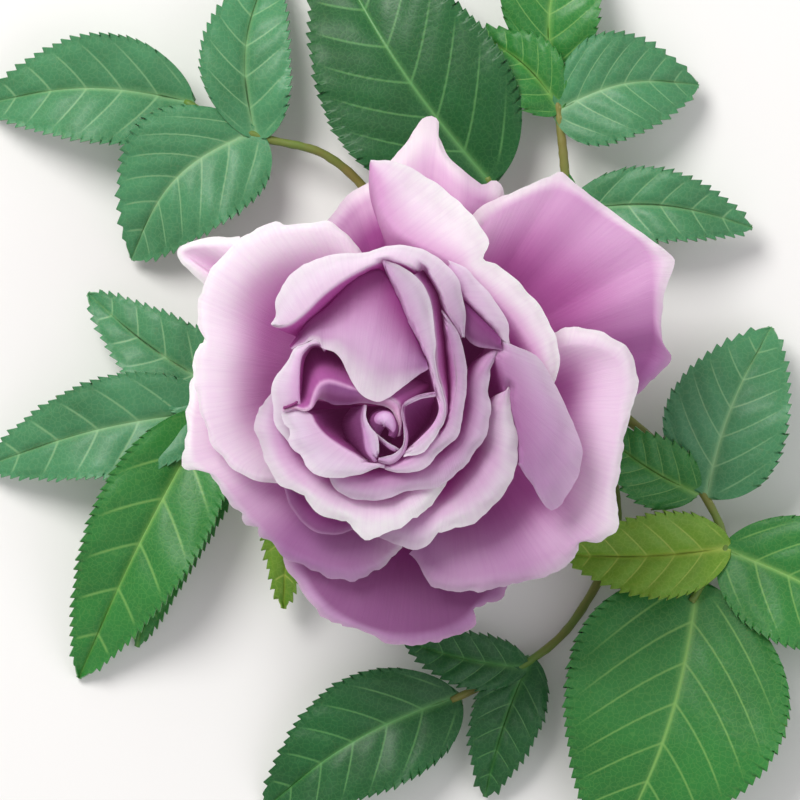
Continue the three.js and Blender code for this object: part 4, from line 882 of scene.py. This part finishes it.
def stalk_material(name, green, flush, pale):
    green, flush, pale = (colour(*c) for c in (green, flush, pale))
    g = Graph(name, Specular_IOR_Level=0.4, Subsurface_Weight=0.05, Subsurface_Scale=0.001)
    place = g.place()
    grain = g.noise(place, STALK_GRAIN)
    tone = g.mix(g.level(g.noise(place, STALK_PATCHES, 4.0), 0.4, 0.7, 0.0, 0.75), green, flush)
    g.finish("Base Color", g.mix(g.level(g.cells(place, STALK_GRAIN), 0.0, 0.16, 0.7, 0.0), tone, pale))
    g.finish("Roughness", g.level(grain, 0.3, 0.7, 0.4, 0.6))
    g.finish("Normal", g.bump(grain, 0.00012, 0.6))
    return g.material


PETAL_MATERIALS = {name: petal_material(f"petal_{name}", *tints) for name, tints in PETAL_TINTS.items()}
LEAF_MATERIALS = {name: leaf_material(f"leaf_{name}", *greens) for name, greens in LEAF_GREENS.items()}
CALYX = leaf_material("calyx_green", *CALYX_GREEN)
STALK = stalk_material("stalk_green", *STALK_GREEN)
CUT = stalk_material("cut_wood", *CUT_WOOD)


# The bloom


def add_petal(name, node, tint, grid, thickness, along, blush, across, up):
    """A petal's piece, with what its material needs to know at each point of the petal's grid."""
    along, blush, across, up = (both_sides(values, grid.shape[:2]) for values in (along, blush, across, up))
    add_piece(f"rose_petal_{name}", node, sheet(grid, thickness), LIFT, [PETAL_MATERIALS[tint]],
        {"along": along, "blush": blush}, np.stack([across, up], 1))


nest = Nest()
for number, (name, petal) in enumerate(PETALS.items()):
    grid, rows = petal_grid(petal)
    grid = living(relaxed(grid, rows, petal["ease"]), rows, 10 * number)
    grid = nest.settle(grid, rows, petal["over"])
    nest.lay(name, grid - UP * PETAL_THICKNESS / 2)
    columns = grid.shape[1]
    steps = length_of(np.diff(grid, axis=0))[..., 0]
    up = np.cumsum(np.concatenate([np.zeros((1, columns)), steps]), axis=0)
    across = np.linspace(-0.5, 0.5, columns) * run_of(grid[WALL_ROWS])[-1] + 100 * number
    # The blush across the petal from side to side, beyond its row share: mostly painted shade.
    shares = petal["blush"]
    stops = np.linspace(0, len(shares) - 1, columns)
    blush = np.interp(np.floor(stops) + smooth_step(0, 1, stops % 1), range(len(shares)), shares)
    blushing = smooth_step(petal["blush_from"] - 0.04, petal["blush_from"] + 0.04, rows)[:, None]
    thinning = (RIM_THICKNESS - PETAL_THICKNESS) * smooth_step(0.8, 1, rows)[:, None]
    node = "bloom_heart" if name in HEART_PETALS else f"petal_{name}"
    add_petal(name, node, petal["tint"], grid, PETAL_THICKNESS + thinning, rows[:, None], blush * blushing,
        across, up)

# The rolled tip at the middle of the heart: a thick, round-topped wall along a hook
hook = curve_through(KNOB["hook"], KNOB["columns"])
heights = np.linspace(0, 1, KNOB["rows"])[:, None]
raised = heights**0.6
middle = np.array(KNOB["centre"])
flare = 1 + KNOB["flare"] * (1 - heights[..., None]) ** 1.2
plan = middle + (hook[:, :2] - middle) * flare
level = KNOB["crown"] - hook[:, 3] - KNOB["depth"] * (1 - raised)
rolled = np.concatenate([plan, level[..., None]], -1)
crowning = np.clip((raised - KNOB["round_from"]) / (1 - KNOB["round_from"]), 0, 1)
breadth = hook[:, 2] * np.sqrt(1 - 0.97 * crowning**2)
# Painted highlight: the knob is paler near its crown and darker down its flanks, by height alone.
along = 0.42 + 0.5 * smooth_step(KNOB["crown"] - 1.5, KNOB["crown"], level)
add_petal("knob", "bloom_heart", "deep", rolled, breadth, along, 0.0, np.linspace(0, 14, len(hook)),
    KNOB["depth"] * heights)

# The core: a scroll round the bloom's leaning axis
heights = np.linspace(CORE["low"], CORE["high"], 24)[:, None]
turns = np.linspace(0, 1, 110)
taper = 1 - CORE["taper"] * (heights / HEART_HEIGHT) ** 2
radius = (CORE["inner"] + (CORE["outer"] - CORE["inner"]) * turns) * taper
angle = math.tau * CORE["turns"] * turns
axis = np.stack([axis_at(height) for height in heights[:, 0]])[:, None]
scroll = axis + np.stack([radius * np.cos(angle), radius * np.sin(angle), np.zeros_like(radius)], -1)
add_petal("core", "bloom_heart", "deep", scroll, CORE["thickness"], 0.05 + 0.3 * heights / HEART_HEIGHT, 0.0,
    20 * turns, heights)


# Leaves


def leaflet_skin(base, tip, width, arch, fold, bow, seed):
    """A leaflet with teeth and with its blade arched between sunken veins: its skin and its values."""
    base = np.array(base, float)
    tip = np.array(tip, float)
    way = unit((tip - base) * FLAT)
    start = base - way * LEAF_ROOT
    side = np.array([-way[1], way[0], 0])
    size = float(length_of(tip - start)[0])
    teeth = int(size / TOOTH_PITCH)
    rows = np.linspace(0, 1, teeth * ROWS_A_TOOTH + 1)
    t, across = np.meshgrid(rows, np.concatenate([-HALF_COLUMNS[:0:-1], HALF_COLUMNS]), indexing="ij")
    out = np.abs(across)
    rng = np.random.default_rng(seed)
    phase = (np.arange(len(rows)) % ROWS_A_TOOTH) / (ROWS_A_TOOTH - 1)
    tooth = phase * np.repeat(rng.uniform(*TOOTH_SIZES, teeth + 1), ROWS_A_TOOTH)[: len(rows)]
    tooth = TOOTH_DEPTH * tooth * window(*TOOTHED, rows)
    margin = smooth_step(0.86, 1, out) * tooth[:, None]
    outline = np.sin(math.pi * np.clip(t, 0, 1) ** LEAF_SHOULDER) ** LEAF_FULLNESS
    x = across * (np.maximum(width / 2 * outline, LEAST_HALF) + margin)
    from_rib = np.abs(x)
    share = from_rib / size
    ribs = RIBS["wide" if width > RIBS["wide_from"] else "narrow"]
    ribs = ribs * (t - RIBS["slant"] * share - RIBS["curve"] * share**2)
    rib_show = window((0.03, 0.1), (0.86, 0.97), t) * (1 - smooth_step(0.6, 0.97, out))
    on_midrib = np.exp(-((from_rib / (MIDRIB["width"] * (1 - 0.7 * t))) ** 2))
    blade = window((0.03, 0.2), (0.85, 1), t) * window((0, 0.25), (0.75, 1), out)
    wave = np.sin(math.tau * (2.2 * t + rng.uniform(0, 1))) * smooth_step(0.1, 0.4, t) * across**2
    z = arch * np.sin(math.pi * t**1.2) + from_rib * fold
    z += BLADE_SWELL * np.abs(np.sin(math.pi * ribs)) ** 0.8 * blade + BLADE_WAVE * size * wave
    z -= MIDRIB["sunk"] * on_midrib
    x += bow * np.sin(math.pi * t)
    grid = start + (tip - start) * t[..., None] + way * (1.1 * margin)[..., None] + side * x[..., None]
    grid += UP * z[..., None]
    grid[..., 2] = np.maximum(grid[..., 2], LEAF_THICKNESS)
    skin = sheet(grid, LEAF_THICKNESS + MIDRIB["thick"] * on_midrib * (1 - 0.6 * t))
    values = [both_sides(field, t.shape) for field in (on_midrib, ribs, rib_show)]
    return skin, np.stack(values + [undersides(grid)], 1)


STEM_LINE = curve_through(STEM_ROUTE, 160)


def stalk_line(points, count):
    """The line of a leaf's stalk, from inside the stem's skin."""
    nearest = STEM_LINE[np.argmin(length_of(STEM_LINE - points[0])[:, 0])]
    return curve_through([nearest + (np.array(points[0]) - nearest) * 0.5] + points, count)


def stipules(line):
    """The skin of the two green wings at the foot of a leaf's stalk."""
    t = np.linspace(0, 1, 24)[:, None]
    middle = points_at(line, WING["start"] + WING["length"] * t[:, 0])
    way = np.gradient(middle, axis=0)
    across = np.linspace(-1, 1, 17)
    half = WING["width"] * np.maximum(np.sin(math.pi * t**1.4), 0.02) ** 0.7 + 0.3
    x = (across * half)[..., None]
    tips = (WING["tip"] * smooth_step(0.3, 1, np.abs(across)) * t**3)[..., None]
    grid = middle[:, None] + unit(np.cross(way, UP))[:, None] * x + unit(way)[:, None] * tips
    return sheet(grid + UP * (0.5 * np.abs(x) + 0.1 * x**2), WING["thickness"])


def joined(parts):
    """Several skins as one. Each part is a skin, its values and the number of its material."""
    points, edges, values, faces, which = [], [], [], [], []
    count = 0
    for (own_points, own_faces, sharp), own_values, number in parts:
        points.append(own_points)
        edges.append(sharp + count)
        values.append(own_values)
        faces += [[k + count for k in face] for face in own_faces]
        which += [number] * len(own_faces)
        count += len(own_points)
    return (np.concatenate(points), faces, np.concatenate(edges)), np.concatenate(values), which


LEAF_VALUES = ("vein", "ribs", "rib_show", "under")
for seed, (name, (points, leaflets)) in enumerate(LEAVES.items()):
    line = stalk_line(points, 70)
    radii = RACHIS_RADIUS * np.linspace(1.25, 0.8, len(line))
    radii *= 1 + 0.05 * np.sin(np.arange(len(line)) * 1.7)
    stalk = tube(line, radii, RACHIS_SIDES, lambda rings: 0.05 * waves(rings, 2.0, seed))
    parts = []
    for number, skin in enumerate((stalk, stipules(line))):
        parts.append((skin, np.zeros((len(skin[0]), len(LEAF_VALUES))), number))
    for number, (*shape, green) in enumerate(leaflets):
        skin, values = leaflet_skin(*shape, 50 * seed + number)
        parts.append((skin, values, 1 + list(LEAF_GREENS).index(green)))
    skin, values, which = joined(parts)
    add_piece(f"rose_{name}", name, skin, 0.0, [STALK, *LEAF_MATERIALS.values()],
        dict(zip(LEAF_VALUES, values.T)), None, which)


# Hip, sepals and stem

HIP_PROFILE = [
    (STEM_NECK, 0, -HIP_HEIGHT),
    (0.75 * HIP_RADIUS, 0, -0.85 * HIP_HEIGHT),
    (HIP_RADIUS, 0, -0.5 * HIP_HEIGHT),
    (0.9 * HIP_RADIUS, 0, -HIP_WAIST * HIP_HEIGHT),
    (HIP_MOUTH, 0, -0.12 * HIP_HEIGHT),
    (1.2 * HIP_MOUTH, 0, 0),
]
line = curve_through(HIP_PROFILE, 40)
angle = np.linspace(0, math.tau, HIP_SIDES, endpoint=False)
around = line[:, :1] * (1 + HIP_RIPPLE * np.cos(5 * angle))
height = np.broadcast_to(line[:, 2:], around.shape)
rings = np.stack([around * np.cos(angle), around * np.sin(angle), height], -1)
add_piece("rose_hip", "hip", capped(rings + FOOT - UP * HIP_GAP), LIFT, [CALYX], {})

t, across = np.meshgrid(np.linspace(0, 1, 60), np.linspace(-1, 1, 15), indexing="ij")
for number in range(SEPAL["count"]):
    angle = SEPAL["turn"] + math.tau * number / SEPAL["count"]
    out = np.array([math.cos(angle), math.sin(angle), 0])
    side = np.array([-out[1], out[0], 0])
    start = FOOT + out * SEPAL["start"] - UP * HIP_WAIST * HIP_HEIGHT
    half = SEPAL["width"] / 2 * np.maximum((1 - t) ** 0.8, 0.04) * (0.55 + 0.45 * np.minimum(1, t * 4))
    lobes = np.maximum(0, np.sin(t * SEPAL["half_waves"] * math.pi + number)) ** 3
    lobes = lobes * smooth_step(0.2, 0.4, t) * (1 - t)
    x = across * half * (1 + SEPAL["lobes"] * lobes * smooth_step(0.6, 1, np.abs(across)))
    rib = np.exp(-((x / SEPAL["rib"]) ** 2))
    z = SEPAL["hump"] * np.sin(math.pi * t * 0.6) - SEPAL["droop"] * t**2 + SEPAL["cup"] * np.abs(x)
    z -= SEPAL["rib_sunk"] * rib
    grid = start + out * (SEPAL["length"] * t)[..., None] + side * x[..., None] + UP * z[..., None]
    grid += UP * (SEPAL["ripple"] * waves(grid, 8, 300 + number))[..., None]
    values = {"vein": both_sides(0.6 * rib, rib.shape), "under": 1 - undersides(grid)}  # pale above
    skin = sheet(grid, SEPAL["thickness"] * np.maximum(0.4, 1 - t))
    add_piece(f"rose_sepal_{number + 1}", f"sepal_{number + 1}", skin, LIFT, [CALYX], values)

share = np.linspace(0, 1, len(STEM_LINE))
radii = STEM_NECK + (STEM_FOOT - STEM_NECK) * share
for ring in STEM_RINGS:
    radii *= 1 + 0.1 * np.exp(-(((share - ring) / 0.02) ** 2))
skin = tube(STEM_LINE, radii, STEM_SIDES,
    lambda rings: 0.07 * waves(rings, 3.0, 7) + 0.04 * waves(rings, 1.2, 8))
which = [0] * (len(skin[1]) - STEM_SIDES) + [1] * STEM_SIDES
add_piece("rose_stem", "stem", skin, 0.0, [STALK, CUT], {}, None, which)


# Floor, light and camera

FLOOR_REACH = 6.0
FLOOR_TONE = (0.86, 0.87, 0.84, 1.0)
FLOOR_DARKER = tuple(0.97 * v for v in FLOOR_TONE[:3]) + (1.0,)
WORLD_TONE = (1.0, 0.96, 1.0, 1.0)
WORLD_STRENGTH = 0.55
BLOOM_TOP = HEART + UP * (LIFT + HEART_HEIGHT)

ground = Graph("floor_pale", Roughness=0.8)
patches = ground.level(ground.noise(ground.place(), 6.0), 0.3, 0.7, 0.0, 1.0)
ground.finish("Base Color", ground.mix(patches, FLOOR_TONE, FLOOR_DARKER))
floor = bpy.data.objects.new("floor", bpy.data.meshes.new("floor"))
corners = [(x * FLOOR_REACH, y * FLOOR_REACH, 0) for x, y in ((-1, -1), (1, -1), (1, 1), (-1, 1))]
floor.data.from_pydata(corners, [], [(0, 1, 2, 3)])
floor.data.materials.append(ground.material)
bpy.context.scene.collection.objects.link(floor)


def area_light(name, place, size, power, tone):
    """A round soft light that looks at the bloom."""
    data = bpy.data.lights.new(name, "AREA")
    data.shape = "DISK"
    data.size = size
    data.energy = power
    data.color = tone
    lamp = bpy.data.objects.new(name, data)
    lamp.location = place
    lamp.rotation_mode = "QUATERNION"
    lamp.rotation_quaternion = Vector(BLOOM_TOP * MM - place).to_track_quat("-Z", "Y")
    bpy.context.scene.collection.objects.link(lamp)


area_light("sky_softbox", (-0.45, 0.62, 0.95), 0.6, 11.6, (1.0, 0.97, 0.96))
area_light("fill_softbox", (0.8, -0.3, 0.9), 1.0, 2.0, (0.93, 0.97, 1.0))

world = bpy.data.worlds.new("studio")
bpy.context.scene.world = world
world.use_nodes = True
background = world.node_tree.nodes["Background"]
background.inputs["Color"].default_value = WORLD_TONE
background.inputs["Strength"].default_value = WORLD_STRENGTH

# The camera looks straight down on the lying shoot, with the photograph's upper edge towards +Y
PIXEL = 0.2  # millimetres at the heart's height
FRAME = 800
SENSOR = 36.0
CAMERA_DISTANCE = 2.0
AIM = np.array([2.4, 5.0, 0.0])
camera_data = bpy.data.cameras.new("camera")
camera_data.sensor_width = SENSOR
camera_data.lens = SENSOR * CAMERA_DISTANCE / (PIXEL * FRAME * MM)
camera_data.clip_start = 0.05
camera_data.clip_end = 20.0
camera = bpy.data.objects.new("camera", camera_data)
camera.location = (BLOOM_TOP + AIM) * MM + UP * CAMERA_DISTANCE
bpy.context.scene.collection.objects.link(camera)
bpy.context.scene.camera = camera
bpy.context.scene.view_settings.view_transform = "Standard"
